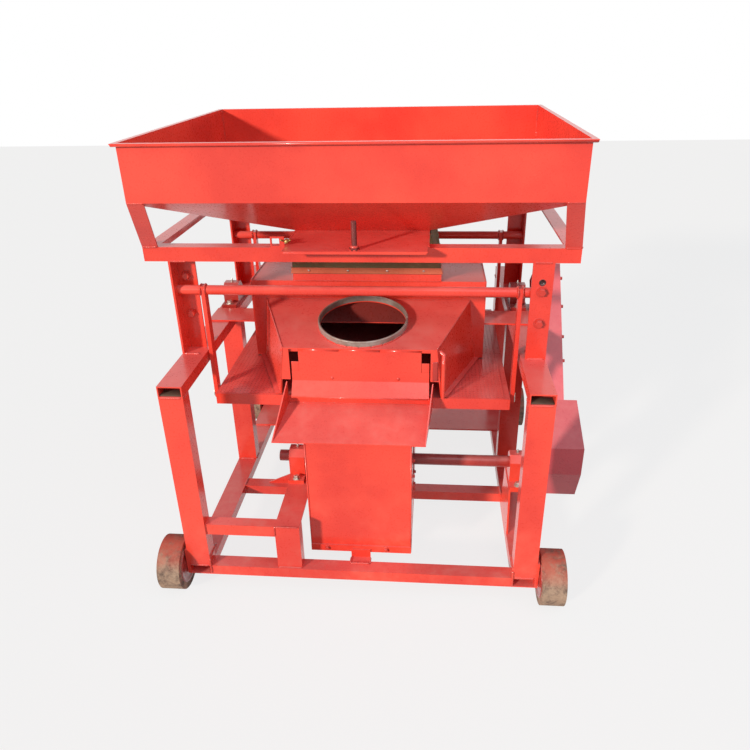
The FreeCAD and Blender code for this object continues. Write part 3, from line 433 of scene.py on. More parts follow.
def add_turned(shape, spot, axis, profile, sides=24):
    """Adds a turned form: profile gives (radius, distance along the axis) from end to end."""
    place = Matrix.Translation(Vector(spot)) @ turn_to(axis)
    rings = []
    for radius, along in profile:
        if radius <= 0:
            rings.append([shape.verts.new(place @ Vector((0, 0, along)))])
            continue
        turns = [math.tau * i / sides for i in range(sides)]
        rings.append([shape.verts.new(place @ Vector((
            radius * math.cos(turn), radius * math.sin(turn), along))) for turn in turns])
    for low, high in zip(rings, rings[1:]):
        if len(low) == len(high):
            bridge(shape, low, high)
            continue
        for i in range(sides):
            j = (i + 1) % sides
            if len(low) == 1:
                shape.faces.new((low[0], high[j], high[i]))
            else:
                shape.faces.new((low[i], low[j], high[0]))


def add_bolt(shape, spot, axis, across=0.013, nut=False):
    """Adds a washer and a hexagon head with a turned-down crown, or a nut with the bolt's end."""
    washer = across * 0.82
    lift = 0.0016
    add_turned(shape, spot, axis, ((0, -0.0004), (washer, -0.0004), (washer, lift * 0.8),
                                   (washer * 0.97, lift), (0, lift)))
    hex_radius = across / math.sqrt(3)
    tall = across * 0.62
    add_turned(shape, spot, axis, ((0, lift), (hex_radius, lift), (hex_radius, lift + tall * 0.86),
                                   (hex_radius * 0.86, lift + tall), (0, lift + tall)), sides=6)
    if nut:
        stud = across * 0.31
        add_turned(shape, spot, axis, (
            (0, lift + tall), (stud, lift + tall), (stud, lift + tall * 1.45),
            (stud * 0.8, lift + tall * 1.55), (0, lift + tall * 1.55)), sides=16)


def add_weld(shape, start, end, radius=0.0035):
    """Adds a hand-laid weld bead: overlapping ripples of uneven width from start to end."""
    start, end = Vector(start), Vector(end)
    run = end - start
    ripple_pitch, sides = 0.55, 8
    steps = max(6, int(run.length / (radius * ripple_pitch)))
    along = run.normalized()
    side = along.orthogonal().normalized()
    up = along.cross(side)
    rings = []
    for step in range(steps + 1):
        share = step / steps
        ripple = 0.82 + 0.18 * abs(math.sin(step * math.pi / 3.0))
        taper = min(1.0, min(share, 1 - share) * steps * 0.35 + 0.3)
        size = radius * ripple * taper * random.uniform(0.92, 1.1)
        drift = side * random.uniform(-0.12, 0.12) * radius
        middle = start + run * share + drift
        rings.append(ring_round(shape, middle, side, up, size, sides))
    closed_bar(shape, rings)


def add_block(shape, low, high):
    """Adds a closed box between two corners."""
    made = bmesh.ops.create_cube(shape, size=1)["verts"]
    low, high = Vector(low), Vector(high)
    for vert in made:
        vert.co = Vector((low[k] + (high[k] - low[k]) * (vert.co[k] + 0.5) for k in range(3)))


def add_tube_run(shape, points, radius, sides=12):
    """Adds a solid round bar that follows the points."""
    never_along = Vector((0.31, 0.22, 0.93))
    rings = []
    points = [Vector(p) for p in points]
    for index, point in enumerate(points):
        before = points[max(index - 1, 0)]
        after = points[min(index + 1, len(points) - 1)]
        along = (after - before).normalized()
        side = along.cross(never_along).normalized()
        up = along.cross(side)
        rings.append(ring_round(shape, point, side, up, radius, sides))
    closed_bar(shape, rings)


# Details of the frame

def rail_soil():
    """Soil packed into the open ends of the upper rails."""
    wall, depth, tall, inset, sunk = 0.0032, 0.034, 0.0065, 0.003, 0.0003
    shape = bmesh.new()
    for side in SIDES:
        low, high = corners_of("rail_upper_" + side)
        for start, end in ((low.y + inset, low.y + depth), (high.y - depth, high.y - inset)):
            add_block(shape, (low.x + wall, start, low.z + wall - sunk),
                      (high.x - wall, end, low.z + tall))
    rounded(piece("rail_soil", shape, "frame", SOIL), 0.0022)


def frame_welds():
    """Beads at the ends of the legs, the front cross bar and the uprights."""
    inset, set_back = 0.004, 0.0006
    shape = bmesh.new()
    for side in SIDES:
        for place in ("front", "middle", "rear"):
            low, high = corners_of("leg_%s_%s" % (place, side))
            for z in (low.z, high.z):
                for y in (low.y, high.y):
                    if place == "front" and y == low.y or place == "rear" and y == high.y:
                        y += set_back if y == low.y else -set_back
                    add_weld(shape, (low.x + inset, y, z), (high.x - inset, y, z), FRAME_BEAD)
                for x in (low.x, high.x):
                    add_weld(shape, (x, low.y + 0.003, z), (x, high.y - 0.003, z), PLATE_BEAD)
    low, high = corners_of("cross_bar_front")
    for x in (low.x, high.x):
        add_weld(shape, (x, low.y + 0.002, high.z), (x, high.y, high.z))
        add_weld(shape, (x, low.y, low.z + 0.003), (x, low.y, high.z - 0.002))
    for side in SIDES:
        for place in ENDS:
            low, high = corners_of("upright_%s_%s" % (place, side))
            for y, z, bead in ((low.y, low.z, FRAME_BEAD), (high.y, low.z, FRAME_BEAD),
                               (low.y + 0.001, high.z, TOP_BEAD)):
                add_weld(shape, (low.x + inset, y, z), (high.x - inset, y, z), bead)
    piece("frame_welds", shape, "frame", WELD_RED)


def ring_and_hopper_welds():
    """Beads at the feet and heads of the leaning posts, and in the hopper's corners."""
    shape = bmesh.new()
    ring_half = centre("hopper_ring").x - lowest("hopper_ring").x
    ring_front, ring_back = lowest("upright_front_left").y, highest("upright_rear_left").y
    ring_z = lowest("gate_runner_left").z + 0.0005
    band_low, band_high = corners_of("hopper_band")
    head_z = band_low.z - 0.001
    lip, flange = 0.01, 0.038
    band_half = (band_high.x - band_low.x) / 2 - lip
    throat_half, throat_front, throat_back = 0.1665, 0.317, 0.633
    throat_z = lowest("hopper_funnel").z + 0.004
    for sign in (-1, 1):
        corner_x = MIDDLE_X + sign * ring_half
        wall_x = MIDDLE_X + sign * band_half
        for foot_y, head_y, throat_y, inward in (
                (ring_front, band_low.y + lip, throat_front, 1),
                (ring_back, band_high.y - lip, throat_back, -1)):
            add_weld(shape, (corner_x - sign * 0.001, foot_y, ring_z),
                     (corner_x - sign * flange, foot_y, ring_z), TOP_BEAD)
            add_weld(shape, (corner_x, foot_y + inward * 0.002, ring_z),
                     (corner_x, foot_y + inward * flange, ring_z), TOP_BEAD)
            add_weld(shape, (wall_x - sign * 0.002, head_y + inward * 0.002, head_z),
                     (wall_x - sign * flange, head_y + inward * 0.002, head_z), CORNER_BEAD)
            inside = Vector((wall_x - sign * 0.0025, head_y + inward * 0.0025, 0))
            add_weld(shape, inside + Vector((0, 0, band_low.z + 0.004)),
                     inside + Vector((0, 0, band_high.z - 0.003)), CORNER_BEAD)
            throat = at(sign * throat_half, throat_y, 0.0)
            add_weld(shape, (throat.x - sign * 0.004, throat.y + inward * 0.006, throat_z),
                     (wall_x - sign * 0.012, head_y + inward * 0.010, head_z), CORNER_BEAD)
    piece("hopper_welds", shape, "frame", WELD_RED)


def rolled_rim():
    """A half-round bead under the lip all round the hopper's mouth."""
    low, high = corners_of("hopper_band")
    radius = 0.0032
    z = high.z - 0.0035
    near, far = low + Vector((radius, radius, 0)), high - Vector((radius, radius, 0))
    corners = [(near.x, near.y, z), (far.x, near.y, z), (far.x, far.y, z), (near.x, far.y, z)]
    shape = bmesh.new()
    for first, second in zip(corners, corners[1:] + corners[:1]):
        add_tube_run(shape, (first, second), radius, sides=16)
    piece("rim_bead", shape, "frame", RED)


def upright_bolts():
    """Two bolts in the face of each upright, and the spare hole high in the right front one, as a
    dark disc of painted shade.
    """
    heights, above_the_bar, spare_height, across = (0.096, 0.176), 0.196, 0.198, 0.017
    shape = bmesh.new()
    for side in SIDES:
        low, high = corners_of("upright_front_" + side)
        face_y = low.y if side == "right" else high.y - 0.005
        x = (low.x + high.x) / 2
        for z in heights if side == "right" else (heights[0], above_the_bar):
            add_bolt(shape, (x, face_y, low.z + z), (0, -1, 0), across)
        for z in heights:
            add_bolt(shape, (x, highest("upright_rear_" + side).y, low.z + z), (0, 1, 0), across)
    piece("upright_bolts", shape, "frame", WELD_RED, smooth=False)
    low, high = corners_of("upright_front_right")
    shape = bmesh.new()
    # The dark disc is painted shade standing for an open hole.
    add_turned(shape, ((low.x + high.x) / 2, low.y, low.z + spare_height), (0, -1, 0), (
        (0, 0.0002), (0.0062, 0.0002), (0.0062, 0.0003), (0.0074, 0.0007), (0.0082, 0.0003),
        (0.0082, -0.0002)))
    piece("upright_spare_hole", shape, "frame", SHADOW)


def bearing_fittings():
    """Two cap bolts and a grease nipple on each bearing."""
    shape = bmesh.new()
    for shaft, side in (("drum", "left"), ("drum", "right"), ("fan", "left"), ("fan", "right")):
        low, high = corners_of("%s_bearing_%s" % (shaft, side))
        mid = (low + high) / 2
        for y in (low.y + 0.012, high.y - 0.012):
            add_bolt(shape, (mid.x, y, low.z + 0.010), (0, 0, 1), 0.013)
        add_turned(shape, (mid.x, mid.y, high.z - 0.0006), (0, 0, 1), (
            (0, 0), (0.0038, 0), (0.0038, 0.0035), (0.0018, 0.0045), (0.0018, 0.0065),
            (0.0028, 0.0075), (0.0018, 0.0105), (0, 0.0108)), sides=12)
    piece("bearing_fittings", shape, "frame", ZINC, smooth=False)


def hanger_fittings():
    """Weld collars where the links meet the pivot bars, and washers on the sieve's pins."""
    half_link = 0.012
    link_inner, link_outer = 0.384, 0.394
    for name, body in (("hanger_front", "hanger_a"), ("hanger_rear", "hanger_b")):
        low, high = corners_of(name)
        bar = Vector((MIDDLE_X, (low.y + high.y) / 2, high.z - half_link))
        shape = bmesh.new()
        for sign in (-1, 1):
            for reach, step in ((link_inner, -sign), (link_outer, sign)):
                add_turned(shape, (bar.x + sign * reach, bar.y, bar.z), (step, 0, 0), (
                    (0.0118, -0.0003), (0.0165, -0.0003), (0.0160, 0.0016), (0.0138, 0.0034),
                    (0.0122, 0.0046), (0.0116, 0.0046)), sides=32)
        piece(name + "_collars", shape, body, WELD_RED)
    shape = bmesh.new()
    tray_low, tray_high = corners_of("sieve_tray")
    for x, step in ((tray_low.x, -1), (tray_high.x, 1)):
        for name in ("hanger_front", "hanger_rear"):
            spot = Vector((x - step * 0.0038, centre(name).y, lowest(name).z + half_link))
            add_turned(shape, spot, (step, 0, 0), (
                (0.0078, 0), (0.0135, 0), (0.0135, 0.0018), (0.0078, 0.0018)), sides=28)
            cotter = [spot + Vector((step * 0.0028, 0, rise)) for rise in (-0.0115, 0.0115)]
            add_tube_run(shape, cotter, 0.0012, sides=8)
    piece("sieve_pin_washers", shape, "sieve", ZINC, smooth=False)


def gate_wing_nut():
    """The brass wing nut on the clamp's tab."""
    low, high = corners_of("gate_runner_left")
    spot = Vector((high.x - 0.0255 + 0.0135, low.y + 0.010, low.z + 0.0155))
    shape = bmesh.new()
    add_turned(shape, spot, (0, -1, 0), (
        (0, -0.0002), (0.0062, -0.0002), (0.0062, 0.0012), (0.0050, 0.0018), (0.0046, 0.0070),
        (0.0034, 0.0085), (0, 0.0085)), sides=20)
    for sign in (-1, 1):
        wing = [spot + Vector((sign * out, -ahead, rise)) for out, ahead, rise in (
            (0.003, 0.004, 0.001), (0.008, 0.007, 0.003), (0.011, 0.011, 0.005),
            (0.010, 0.014, 0.006))]
        add_tube_run(shape, wing, 0.0021, sides=10)
    piece("gate_wing_nut", shape, "frame", BRASS)


def gate_fittings():
    """The thread and the weld of the gate's upright screw, and the gate's hem."""
    screw_low, screw_high = corners_of("gate_screw")
    mid = (screw_low + screw_high) / 2
    turns, steps, thread_radius = 24, 12, 0.0061
    start_z, end_z = screw_low.z + 0.007, screw_high.z - 0.004
    points = []
    for step in range(turns * steps + 1):
        angle = math.tau * step / steps
        points.append((mid.x + thread_radius * math.cos(angle),
                       mid.y + thread_radius * math.sin(angle),
                       start_z + (end_z - start_z) * step / (turns * steps)))
    shape = bmesh.new()
    add_tube_run(shape, points, 0.0007, sides=6)
    piece("gate_screw_thread", shape, "gate", DARK_ENAMEL_AND_SHADE)
    dabs, dab_turn, half_x, half_y = 7, 0.8, 0.0112, 0.0100
    shape = bmesh.new()
    for index in range(dabs):
        start = math.tau * index / dabs
        ends = [(mid.x + half_x * math.cos(angle), mid.y + half_y * math.sin(angle),
                 screw_low.z + 0.0006) for angle in (start, start + dab_turn)]
        add_weld(shape, *ends, SCREW_BEAD)
    add_turned(shape, (mid.x, mid.y, screw_low.z + 0.0005), (0, 0, 1), (
        (0.0062, 0), (0.0108, 0), (0.0108, 0.0085), (0.0096, 0.0098), (0.0062, 0.0098)), sides=6)
    piece("gate_screw_weld", shape, "gate", WELD_RED)
    low, high = corners_of("gate_plate")
    shape = bmesh.new()
    add_block(shape, (low.x + 0.002, low.y, low.z - 0.004),
              (high.x - 0.002, low.y + 0.002, low.z + 0.0005))
    rounded(piece("gate_plate_hem", shape, "gate", RED))


def duct_circle(reach, lift, count):
    """Places round the duct on the hood's sloping top, all moved by lift."""
    middle = (RIDGE_FRONT + RIDGE_BACK) / 2
    up_the_slope = Vector((0, math.cos(HOOD_SLOPE), math.sin(HOOD_SLOPE)))
    points = []
    for step in range(count):
        angle = math.tau * step / count
        out = Vector((math.cos(angle), 0, 0)) + up_the_slope * math.sin(angle)
        points.append(Vector((MIDDLE_X, middle.y, middle.z)) + lift + out * reach)
    return points + points[:1]


def hood_seams():
    """Beads along the hood's folds and round the foot of the duct, and the rough hinge bracket."""
    high = highest("dust_hood")
    shape = bmesh.new()
    for sign in (-1, 1):
        front, back, foot = (mirrored(corner, sign) for corner in (
            RIDGE_FRONT, RIDGE_BACK, HOOD_FOOT_FRONT))
        add_weld(shape, front + Vector((0, 0.002, 0)), back, SHEET_BEAD)
        add_weld(shape, front, foot + Vector((0, 0.001, 0.002)), FOLD_BEAD)
    back_left, back_right = ((MIDDLE_X + x, high.y, high.z) for x in (-0.283, 0.283))
    add_weld(shape, back_left, back_right, CORNER_BEAD)
    points = duct_circle(0.1185, Vector((0, 0, 0.0008)), 24)
    for first, second in zip(points, points[1:]):
        add_weld(shape, first, second, ROUND_BEAD)
    for z in (0.566, 0.588, 0.612):
        add_weld(shape, at(0.181, 0.1645, z), at(0.197, 0.1645, z + 0.005), TOP_BEAD)
    piece("hood_welds", shape, "frame", WELD_RED)
    shape = bmesh.new()
    add_block(shape, at(0.183, 0.1605, 0.566), at(0.196, 0.1652, 0.618))
    rounded(piece("flap_bracket", shape, "frame", DARK_RED), 0.0015)


def hood_feet():
    """Narrow flanges that the hood's sides stand on."""
    flange, sheet = 0.014, 0.0016
    shape = bmesh.new()
    for sign in (-1, 1):
        bottom, top = [], []
        for point, reach in ((HOOD_FOOT_FRONT, 0), (HOOD_FOOT_FRONT, flange),
                             (HOOD_FOOT_BACK, flange), (HOOD_FOOT_BACK, 0)):
            x = MIDDLE_X + sign * (point.x - MIDDLE_X + reach)
            bottom.append(shape.verts.new((x, point.y, point.z)))
            top.append(shape.verts.new((x, point.y, point.z + sheet)))
        closed_bar(shape, (bottom, top))
    bmesh.ops.recalc_face_normals(shape, faces=shape.faces)
    piece("hood_feet", shape, "frame", RED, smooth=False)


def hood_inside_shade():
    """A dark patch with an uneven edge on the housing's front, seen through the duct: painted
    shade inside the hood.
    """
    half, middle_z, tall, front, back = 0.274, 0.655, 0.031, 0.4036, 0.4049
    edge_steps, squareness = 72, 8
    shape = bmesh.new()
    near, far = [], []
    for step in range(edge_steps):
        angle = math.tau * step / edge_steps
        u, v = math.cos(angle), math.sin(angle)
        reach = (abs(u) ** squareness + abs(v) ** squareness) ** (-1 / squareness)
        reach *= 1 - 0.020 * (1 + math.sin(angle * 7 + 0.8)) - 0.012 * (1 + math.sin(angle * 17))
        x, z = half * u * reach, middle_z + tall * v * reach
        near.append(shape.verts.new(at(x, front, z)))
        far.append(shape.verts.new(at(x, back, z)))
    closed_bar(shape, (near, far))
    bmesh.ops.recalc_face_normals(shape, faces=shape.faces)
    piece("hood_inside_shade", shape, "frame", DARK_ENAMEL_AND_SHADE, smooth=False)


def duct_rim():
    """The rounded upper edge of the duct ring."""
    below_edge = 0.0145
    lift = Vector((0, -math.sin(HOOD_SLOPE), math.cos(HOOD_SLOPE))) * below_edge
    shape = bmesh.new()
    add_tube_run(shape, duct_circle(0.1152, lift, 72), 0.0026, sides=10)
    piece("duct_rim_bead", shape, "frame", COLLAR_STEEL)


def flap_fittings():
    """The rolled hinge barrels along the flap's neck, its ears and rivets, and the hem."""
    neck, wide, gap, barrels = 0.155, 0.175, 0.0005, 3
    shape = bmesh.new()
    for index in range(barrels):
        start = -neck + 2 * neck * index / barrels + gap
        length = -neck + 2 * neck * (index + 1) / barrels - gap - start
        add_turned(shape, at(start, 0.177, 0.640), (1, 0, 0), (
            (0.0051, 0), (0.0071, 0), (0.0071, length), (0.0051, length)), sides=28)
    piece("flap_hinge_barrels", shape, "flap", RED)
    shape = bmesh.new()
    for inner, outer in ((-wide, -neck - 0.0004), (neck + 0.0004, wide)):
        add_block(shape, at(inner + 0.0005, 0.1702, 0.583), at(outer, 0.1718, 0.610))
    rounded(piece("flap_ears", shape, "flap", RED), 0.0004)
    shape = bmesh.new()
    for x in (-0.072, 0.097):
        add_turned(shape, at(x, 0.1702, 0.5655), (0, -1, 0), (
            (0.0046, -0.0002), (0.0043, 0.0012), (0.0030, 0.0024), (0.0012, 0.0030),
            (0, 0.0031)), sides=16)
    piece("flap_rivets", shape, "flap", WELD_RED)
    fold_y, fold_z = 0.1432, 0.5226
    shape = bmesh.new()
    add_tube_run(shape, [at(x, fold_y, fold_z) for x in (-wide + 0.001, wide - 0.001)], 0.0019)
    piece("flap_hem", shape, "flap", RED)


def volute_trim():
    """The seam bead round each end of the fan's casing, its bolts and the bolts in its lip."""
    low, high = corners_of("fan_volute")
    radius, lip, mouth_depth = 0.190, 0.005, 0.100
    front = low.y + lip
    axis = Vector((MIDDLE_X, front + radius, highest("rail_lower_left").z + 0.0003 + radius))
    foot_z, mouth_z = 0.095, 0.440
    start_turn = math.asin((foot_z - axis.z) / radius)
    turn = math.pi - start_turn
    sweep = math.tau + math.acos((front + mouth_depth - axis.y) / radius) - turn
    steps = 56
    shape = bmesh.new()
    for x in (low.x + 0.0012, high.x - 0.0012):
        path = [Vector((x, front, mouth_z - 0.001)), Vector((x, front, foot_z + 0.001)),
                Vector((x, axis.y - radius * math.cos(start_turn), foot_z + 0.001))]
        for index in range(steps + 1):
            angle = turn + sweep * index / steps
            path.append(Vector((
                x, axis.y + radius * math.cos(angle), axis.z + radius * math.sin(angle))))
        add_tube_run(shape, path, 0.0021, sides=10)
    piece("volute_seams", shape, "frame", RED)
    bolts, bolt_reach = 12, 0.085
    shape = bmesh.new()
    for x, step in ((low.x, -1), (high.x, 1)):
        for index in range(bolts):
            angle = math.tau * index / bolts
            spot = Vector((x, axis.y + bolt_reach * math.cos(angle),
                           axis.z + bolt_reach * math.sin(angle)))
            add_bolt(shape, spot, (step, 0, 0), 0.008)
    for x in (-0.091, 0.068):
        add_bolt(shape, at(x, 0.060, 0.106), (0, -1, 0), 0.009)
    piece("volute_bolts", shape, "frame", WELD_RED, smooth=False)


def guard_bolts():
    """Bolts along both edges of the guard's narrow face."""
    narrow_x, half_width = lowest("belt_guard").x + 0.085, 0.054
    drum, fan = centre("drum_pulley"), centre("fan_pulley")
    along = (fan - drum).normalized()
    across = Vector((0, -along.z, along.y)) * half_width
    shape = bmesh.new()
    for share in (-0.05, 0.12, 0.30, 0.44):
        for side in (-1, 1):
            spot = drum + (fan - drum) * share + across * side
            add_bolt(shape, (narrow_x, spot.y, spot.z), (1, 0, 0), 0.009)
    piece("guard_bolts", shape, "frame", WELD_RED, smooth=False)


def wheel_fittings():
    """Cast discs on both faces of the wheels, and rivets in the axle plates."""
    plate, half_wheel, shaft_hole, nut_hole = 0.006, 0.030, 0.0104, 0.0172
    for side, step in zip(SIDES, (-1, 1)):
        for place in ENDS:
            axle, wheel = "axle_%s_%s" % (place, side), "wheel_%s_%s" % (place, side)
            low, high = corners_of(axle)
            plate_x = high.x - plate if step < 0 else low.x + plate
            shape = bmesh.new()
            for y in (low.y + 0.008, high.y - 0.008):
                add_turned(shape, (plate_x, y, high.z - 0.009), (step, 0, 0), (
                    (0, -0.0002), (0.0048, -0.0002), (0.0045, 0.0005), (0.0030, 0.0008),
                    (0, 0.0009)), sides=16)
            piece(axle + "_rivets", shape, "frame", WELD_RED, smooth=False)
            middle = centre(wheel)
            shape = bmesh.new()
            for out in (-1, 1):
                hole = nut_hole if out == step else shaft_hole
                add_turned(shape, (middle.x + out * half_wheel, middle.y, middle.z), (out, 0, 0), (
                    (0.0545, -0.0006), (0.0545, 0.0012), (0.0525, 0.0022), (0.0480, 0.0022),
                    (0.0455, 0.0006), (0.0300, 0.0005), (0.0270, 0.0026), (0.0178, 0.0028),
                    (hole, 0.0028)), sides=56)
            piece("hub_disc_%s_%s" % (place, side), shape, wheel, DARK_RED)


def sleeve_ends():
    """Half width, front, back and height of the sleeve at its foot and at its head."""
    low, high = corners_of("feed_sleeve")
    return (0.203, 0.405, 0.625, low.z + 0.0004), (0.170, 0.317, 0.633, high.z - 0.0004)


def sleeve_cloth():
    """The canvas sleeve: gathered folds between the hopper's ring and the collar."""
    columns, rows, held_up_to, squareness = 336, 26, SLEEVE_STRAP[1], 9
    perimeter = []
    for index in range(columns):
        side, along = divmod(4 * index / columns, 1)
        u, v = ((2 * along - 1, -1), (1, 2 * along - 1), (1 - 2 * along, 1),
                (-1, 1 - 2 * along))[int(side)]
        perimeter.append((u, v, math.tau * index / columns))
    ends = sleeve_ends()
    shape = bmesh.new()
    lines = []
    for row_index in range(rows + 1):
        height = row_index / rows
        free = min(max((height - held_up_to) / (1 - held_up_to), 0), 1)
        slack = math.sin(math.pi * free) ** 0.7
        line = []
        for u, v, turn in perimeter:
            foot, head = (at(u * half_x, (front + back) / 2 + v * (back - front) / 2, z)
                          for half_x, front, back, z in ends)
            outward = Vector((u ** squareness, v ** squareness, 0)).normalized()
            fold = (math.sin(turn * 9 + 2.2 * math.sin(height * 3.1 + turn / math.tau * 11))
                    + 0.6 * math.sin(turn * 17 + height * 5.3 + 1.3)
                    + 0.35 * math.sin(turn * 41 - height * 7.0))
            droop = math.sin(height * math.pi * 3 + 1.7 * math.sin(turn * 3)) * 0.0014
            push = 0.0016 + slack * (0.0034 + 0.0017 * fold + droop)
            line.append(shape.verts.new(foot.lerp(head, height) + outward * max(push, 0.0012)))
        lines.append(line)
    for lower, upper in zip(lines, lines[1:]):
        bridge(shape, lower, upper)
    cloth = piece("sleeve_cloth", shape, "frame", CANVAS)
    thicken(cloth, "cloth_thickness", 0.0009)


def sleeve_corners(height, reach):
    """The sleeve's four corners at a share of its height, moved outwards by reach."""
    half_x, front, back, z = (low + (high - low) * height for low, high in zip(*sleeve_ends()))
    x, front, back = half_x + reach, front - reach, back + reach
    return [at(-x, front, z), at(x, front, z), at(x, back, z), at(-x, back, z)]


def sleeve_strap():
    """The strap that clamps the sleeve to the collar, and its rivets."""
    foot, top = SLEEVE_STRAP
    out, thick = 0.0030, 0.0014
    shape = bmesh.new()
    section = ((foot, out), (foot, out + thick), (top, out + thick), (top, out))
    loops = [[shape.verts.new(spot) for spot in sleeve_corners(height, reach)]
             for height, reach in section]
    for low_loop, high_loop in zip(loops, loops[1:] + loops[:1]):
        bridge(shape, low_loop, high_loop)
    rounded(piece("sleeve_strap", shape, "frame", STRAP, smooth=False), 0.0004)
    shape = bmesh.new()
    first, second = sleeve_corners((foot + top) / 2, out + thick)[:2]
    for share in (0.12, 0.38, 0.64, 0.88):
        add_turned(shape, first.lerp(second, share), (0, -1, -0.65), (
            (0, -0.0002), (0.0036, -0.0002), (0.0034, 0.0010), (0.0020, 0.0017),
            (0, 0.0018)), sides=14)
    piece("sleeve_strap_rivets", shape, "frame", ZINC)


def under_cover(x, y):
    """Whether the hood or the drum housing stands on this place of the sieve."""
    margin = 0.004
    if y > HOUSING_BACK + margin:
        return False
    if y > HOUSING_FRONT - margin:
        return abs(x) < HOUSING_HALF + margin
    foot_front, foot_back = 0.207, 0.3015
    share = (y - HOOD_FRONT) / (HOUSING_FRONT - HOOD_FRONT)
    return abs(x) < foot_front + (foot_back - foot_front) * share + margin


def sieve_screen():
    """The punched sheet on the sieve, where it shows beside and behind the housing, and a dark
    sheet under it that is painted shade in the holes."""
    pitch, hole = 0.0100, 0.0021
    half_x, start_y, end_y = 0.374, 0.169, 0.796
    tray_top = highest("sieve_tray").z
    sheet_z, screen_shade_z = tray_top + 0.0009, tray_top + 0.0003
    # The lower sheet is painted shade that shows through the holes.
    sheet, dust = bmesh.new(), bmesh.new()
    columns, rows = int(2 * half_x / pitch), int((end_y - start_y) / pitch)
    made = {}

    def corner(shape, i, j, z):
        """A vertex on the half-pitch grid, made only once in each shape."""
        key = (id(shape), i, j)
        if key not in made:
            made[key] = shape.verts.new(at(-half_x + i * pitch / 2, start_y + j * pitch / 2, z))
        return made[key]

    square = ((0, 0), (2, 0), (2, 2), (0, 2))
    around = ((0, 0), (1, 0), (2, 0), (2, 1), (2, 2), (1, 2), (0, 2), (0, 1))
    for i in range(columns):
        for j in range(rows):
            dust.faces.new([corner(dust, 2 * i + a, 2 * j + b, screen_shade_z) for a, b in square])
            x, y = -half_x + (i + 0.5) * pitch, start_y + (j + 0.5) * pitch
            if under_cover(x, y):
                continue
            rim = [corner(sheet, 2 * i + a, 2 * j + b, sheet_z) for a, b in around]
            middle = at(x, y, sheet_z)
            bore = [sheet.verts.new(middle + Vector((a - 1, b - 1, 0)).normalized() * hole)
                    for a, b in around]
            bridge(sheet, rim, bore)
    for name, shape, finish, thickness in (("sieve_screen", sheet, RED, 0.0006),
                                           ("sieve_screen_hole_shade", dust, HUSK_AND_HOLE_SHADE, 0.0002)):
        thicken(piece(name, shape, "sieve", finish, smooth=False), "sheet_thickness", thickness)


def shop_welds():
    """Beads on the housing, the collar, the motor plate, the fan's cradle and the front tab."""
    shape = bmesh.new()
    low, high = corners_of("drum_cover")
    side_foot_z = 0.694
    for x in (low.x, high.x):
        add_weld(shape, (x, high.y, low.z + 0.003), (x, high.y, high.z - 0.002), SHEET_BEAD)
        add_weld(shape, (x, low.y + 0.003, high.z), (x, high.y - 0.003, high.z), SHEET_BEAD)
        add_weld(shape, (x, low.y, side_foot_z), (x, low.y, high.z - 0.002), SHEET_BEAD)
    low, high = corners_of("feed_collar")
    for y in (low.y, high.y):
        add_weld(shape, (low.x + 0.002, y, low.z), (high.x - 0.002, y, low.z), SHEET_BEAD)
    for x in (low.x, high.x):
        add_weld(shape, (x, low.y + 0.002, low.z), (x, high.y - 0.002, low.z), SHEET_BEAD)
    low, high = corners_of("motor_base")
    for y in (low.y, high.y):
        for x in (low.x + 0.004, high.x - 0.056):
            add_weld(shape, (x, y, low.z), (x + 0.052, y, low.z), PLATE_BEAD)
    for start, end, bead in (
            ((-0.217, 0.005, 0.080), (-0.152, 0.005, 0.080), TOP_BEAD),
            ((-0.217, 0.0048, 0.2138), (-0.217, 0.0048, 0.184), CORNER_BEAD),
            ((-0.214, 0.0048, 0.2143), (-0.155, 0.0048, 0.2143), SHEET_BEAD),
            ((-0.4, 0.0048, 0.184), (-0.4, 0.0048, 0.212), PLATE_BEAD)):
        add_weld(shape, at(*start), at(*end), bead)
    for x in (-0.400, 0.400):
        add_weld(shape, at(x, 0.361, 0.080), at(x, 0.399, 0.080), PLATE_BEAD)
        add_weld(shape, at(x, 0.360, 0.053), at(x, 0.360, 0.078), CORNER_BEAD)
    bracket_x, tab = 0.4054, 0.026
    add_weld(shape, at(bracket_x, 0.176, 0.0803), at(bracket_x, 0.334, 0.0803), PLATE_BEAD)
    add_weld(shape, at(bracket_x, 0.196, 0.2080), at(bracket_x, 0.314, 0.2080), ROUND_BEAD)
    add_weld(shape, at(-tab, 0.0302, 0.0803), at(tab, 0.0302, 0.0803), TAB_BEAD)
    for x in (-tab, tab):
        add_weld(shape, at(x, 0.031, 0.0800), at(x, 0.055, 0.0800), TOP_BEAD)
    piece("shop_welds", shape, "frame", WELD_RED)


def chute_weld():
    """The bead behind the chute, which moves with the sieve."""
    shape = bmesh.new()
    add_weld(shape, at(-0.186, 0.1648, 0.4952), at(0.182, 0.1648, 0.4952), CHUTE_BEAD)
    piece("chute_weld", shape, "sieve", WELD_RED)


def floor_and_sky():
    """A pale ground and a pale sky, which both show as white paper to the camera."""
    bpy.ops.mesh.primitive_plane_add(size=14, location=(0, 1.5, 0))
    floor = bpy.context.object
    floor.name = "floor"
    ground = Recipe("pale_floor")
    ground.set(Base_Color=(0.58, 0.53, 0.50, 1), Roughness=0.8)
    ground.shader.inputs["Specular IOR Level"].default_value = 0.1
    ground.show_white(ground.seen() * 0.80, "ShaderNodeEmission")
    floor.data.materials.append(ground.material)
    sky = Recipe("studio", world=True)
    sky.set(Color=(0.78, 0.88, 1.0, 1), Strength=0.33)
    sky.show_white(sky.seen(), "ShaderNodeBackground")
    bpy.context.scene.world = sky.material


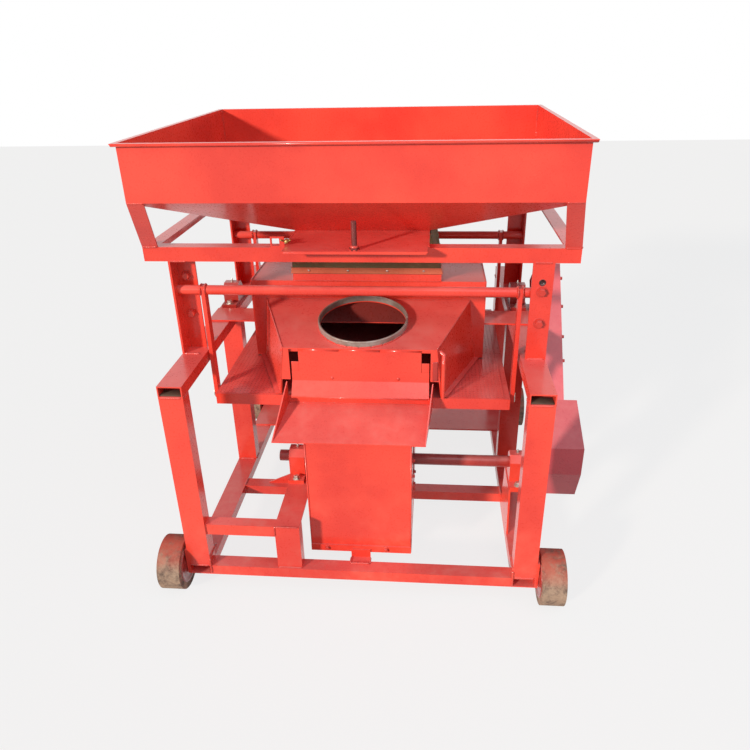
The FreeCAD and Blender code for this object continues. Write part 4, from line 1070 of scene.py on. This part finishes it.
def lamp(name, kind, energy, colour, aim, place=(0, 0, 0)):
    """Adds a light that shines along the opposite of aim."""
    light = bpy.data.lights.new(name, kind)
    light.energy = energy
    light.color = colour
    thing = bpy.data.objects.new(name, light)
    bpy.context.scene.collection.objects.link(thing)
    thing.location = place
    thing.rotation_euler = Vector(aim).to_track_quat("Z", "Y").to_euler()
    return light


def lights():
    """A low sun from the front left, and a wide soft light from the front right."""
    sun = lamp("key", "SUN", 3.35, (1.0, 0.95, 0.86), (-0.88, -1.12, 0.45))
    sun.angle = math.radians(5)
    place, target = Vector((1.2, -1.7, 2.9)), Vector((0, 0, 0.6))
    soft = lamp("soft", "AREA", 42, (0.80, 0.88, 1.0), place - target, place)
    soft.size = 3.0


def camera():
    """The photograph's view, fitted to the machine's corners."""
    focal_pixels, picture_pixels, film = 664.4, 750, 36
    pitch, yaw, roll = math.radians(26.56), math.radians(-5.17), math.radians(-1.25)
    place = Matrix.Translation((0.1508, -1.8018, 1.3274))
    data = bpy.data.cameras.new("camera")
    data.sensor_width = film
    data.lens = focal_pixels / picture_pixels * film
    eye = bpy.data.objects.new("camera", data)
    bpy.context.scene.collection.objects.link(eye)
    forward = Vector((
        math.sin(yaw) * math.cos(pitch), math.cos(yaw) * math.cos(pitch), -math.sin(pitch)))
    right = Vector((math.cos(yaw), -math.sin(yaw), 0))
    up = right.cross(forward)
    across = right * math.cos(roll) + up * math.sin(roll)
    above = up * math.cos(roll) - right * math.sin(roll)
    turn = Matrix((across, above, -forward)).transposed()
    eye.matrix_world = place @ turn.to_4x4()
    bpy.context.scene.camera = eye


dress_frame()
rail_soil()
frame_welds()
ring_and_hopper_welds()
rolled_rim()
upright_bolts()
bearing_fittings()
hanger_fittings()
gate_wing_nut()
gate_fittings()
hood_seams()
hood_feet()
hood_inside_shade()
duct_rim()
flap_fittings()
volute_trim()
guard_bolts()
wheel_fittings()
sleeve_cloth()
sleeve_strap()
sieve_screen()
shop_welds()
chute_weld()
floor_and_sky()
lights()
camera()
bpy.context.scene.view_settings.view_transform = "Standard"
